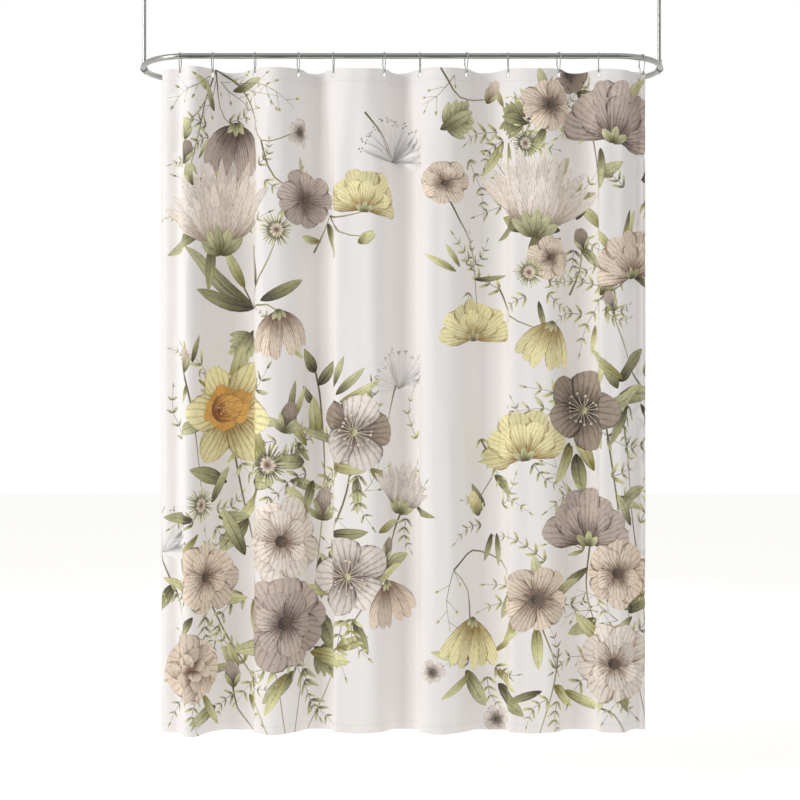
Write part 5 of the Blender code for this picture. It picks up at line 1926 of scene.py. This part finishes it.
class CurtainClothOperator(bpy.types.Operator):
    """Builds the printed cloth in its folds"""

    bl_idname = "curtain.cloth"
    bl_label = "Printed cloth"

    def execute(self, context):
        cloth, ink = settings("curtain_cloth"), settings("curtain_print")
        SHARED["folds"] = Folds(cloth)
        SHARED["sewn"] = []
        panel = build_panel(SHARED["folds"], cloth, ink)
        dress(panel, "curtain", "printed_cloth", "curtain_panel")
        gather(panel)
        SHARED["panel"] = panel.name
        return {"FINISHED"}


class CurtainHemsOperator(bpy.types.Operator):
    """Builds the header, the bottom hem and the side hems behind the cloth"""

    bl_idname = "curtain.hems"
    bl_label = "Hems"

    def execute(self, context):
        hems = build_hems(SHARED["folds"], settings("curtain_cloth"))
        nodes = ("header_facing", "bottom_hem", "side_hem_left", "side_hem_right")
        for hem, name in zip(hems, nodes):
            dress(hem, "curtain", "printed_cloth", name)
        sew_on(hems)
        return {"FINISHED"}


class CurtainStitchesOperator(bpy.types.Operator):
    """Builds the seams' stitches and the buttonholes'"""

    bl_idname = "curtain.stitches"
    bl_label = "Seams and buttonholes"

    def execute(self, context):
        cloth = settings("curtain_cloth")
        thread = sewing_thread(cloth)
        seams = build_seams(SHARED["folds"], cloth, thread)
        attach(seams, "curtain")
        slots = build_buttonholes(SHARED["folds"], cloth, thread)
        for stitches, name in zip(slots, SLOT_NODES):
            dress(stitches, "curtain", "thread", name)
        sew_on((seams, *slots))
        return {"FINISHED"}


def card(name, corners, colour, glow=0.0):
    """A flat card of the studio, lit by itself where it glows."""
    made = add_piece(name, corners, [(0, 1, 2, 3)], None, smooth=False)
    finish, _, shader = new_material(name)
    shader.inputs["Base Color"].default_value = (*colour, 1)
    shader.inputs["Roughness"].default_value = 0.95
    shader.inputs["Emission Color"].default_value = (*colour, 1)
    shader.inputs["Emission Strength"].default_value = glow
    made.data.materials.append(finish)
    return made


def dark_card(name, half, low, high):
    """A dark upright card in front of the curtain, half wide each way from the middle."""
    front = -2.2
    corners = [(-half, front, low), (half, front, low), (half, front, high), (-half, front, high)]
    return card(name, corners, (0.02, 0.02, 0.02))


def lamp(name, place, target, power, size):
    """A soft square lamp aimed at a place."""
    light = bpy.data.lights.new(name, "AREA")
    light.energy, light.size = power, size
    made = bpy.data.objects.new(name, light)
    bpy.context.scene.collection.objects.link(made)
    made.location = place
    made.rotation_euler = (Vector(target) - Vector(place)).to_track_quat("-Z", "Y").to_euler()
    return made


class CurtainStageOperator(bpy.types.Operator):
    """Sets the pale floor, the soft studio light and the camera"""

    bl_idname = "curtain.stage"
    bl_label = "Floor, light and camera"

    def execute(self, context):
        stage, scene = settings("curtain_stage"), context.scene
        level = RAIL_CENTRE_Z - stage.rail_height
        reach = 14.0
        floor = card("studio_floor", [(-reach, -reach, level), (reach, -reach, level), (reach, reach, level),
                                      (-reach, reach, level)], stage.floor, 0.66)
        # two dark cards, seen only in gloss, draw the dark lines along the round metal
        strip_card = dark_card("dark_strip", 3, -2.3, -0.45)
        upright = dark_card("dark_upright", 2.6, -0.05, 0.35)
        for dark in (strip_card, upright):
            dark.visible_camera = dark.visible_diffuse = dark.visible_shadow = False
        target = (0, RAIL_Y, -1.3)
        lamps = [
            lamp("key_lamp", (-4.8, -3.0, 0.3), target, stage.key, 2.2),
            lamp("fill_lamp", (3.6, -4.4, -0.6), target, stage.fill, 3.0),
            lamp("back_lamp", (1.5, 4.0, 0.6), target, stage.fill, 3.0),
        ]
        world = bpy.data.worlds.new("white_surround")
        world.use_nodes = True
        background = world.node_tree.nodes["Background"]
        background.inputs["Color"].default_value = (1, 1, 1, 1)
        background.inputs["Strength"].default_value = stage.sky
        # the camera and the metal see a clean white surround, whatever strength lights the cloth
        tree = world.node_tree
        path = node(tree, "ShaderNodeLightPath").outputs
        glossy = maths(tree, "MULTIPLY", path["Is Glossy Ray"], 0.7)
        seen = maths(tree, "MAXIMUM", path["Is Camera Ray"], glossy)
        clean = node(tree, "ShaderNodeBackground", {"Color": (1, 1, 1, 1), "Strength": 1.0})
        both = node(tree, "ShaderNodeMixShader", {0: seen, 1: background.outputs[0], 2: clean.outputs[0]})
        tree.links.new(both.outputs[0], tree.nodes["World Output"].inputs["Surface"])
        scene.world = world
        scene.view_settings.view_transform = "Standard"
        camera = bpy.data.objects.new("studio_camera", bpy.data.cameras.new("studio_camera"))
        camera.data.lens, camera.data.sensor_width = stage.lens, 36.0
        camera.data.clip_end = 60
        camera.location = (-0.0055, -4.582, -1.350)
        camera.rotation_euler = (math.pi / 2, 0, 0)
        scene.collection.objects.link(camera)
        scene.camera = camera
        return {"FINISHED"}


OPERATORS = (
    CurtainRailOperator,
    CurtainFittingsOperator,
    CurtainTubesOperator,
    CurtainFlangesOperator,
    CurtainSetScrewsOperator,
    CurtainFlangeScrewsOperator,
    CurtainHooksOperator,
    CurtainClothOperator,
    CurtainHemsOperator,
    CurtainStitchesOperator,
    CurtainStageOperator,
)
SETTINGS = {
    "curtain_cloth": CurtainCloth,
    "curtain_print": CurtainPrint,
    "curtain_hooks": CurtainHooks,
    "curtain_rail": CurtainRail,
    "curtain_stage": CurtainStage,
}


class CurtainPanel(bpy.types.Panel):
    """Lists the steps that build the curtain"""

    bl_idname = "VIEW3D_PT_curtain"
    bl_label = "Shower curtain"
    bl_space_type = "VIEW_3D"
    bl_region_type = "UI"
    bl_category = "Curtain"

    def draw(self, context):
        for operator in OPERATORS:
            self.layout.operator(operator.bl_idname)


def register():
    for kind in (*SETTINGS.values(), *OPERATORS, CurtainPanel):
        bpy.utils.register_class(kind)
    for name, kind in SETTINGS.items():
        setattr(bpy.types.Scene, name, PointerProperty(type=kind))


def unregister():
    for name in SETTINGS:
        delattr(bpy.types.Scene, name)
    for kind in reversed((*SETTINGS.values(), *OPERATORS, CurtainPanel)):
        bpy.utils.unregister_class(kind)


def main():
    register()
    for operator in OPERATORS:
        group, name = operator.bl_idname.split(".")
        getattr(getattr(bpy.ops, group), name)()


if __name__ == "__main__":
    main()
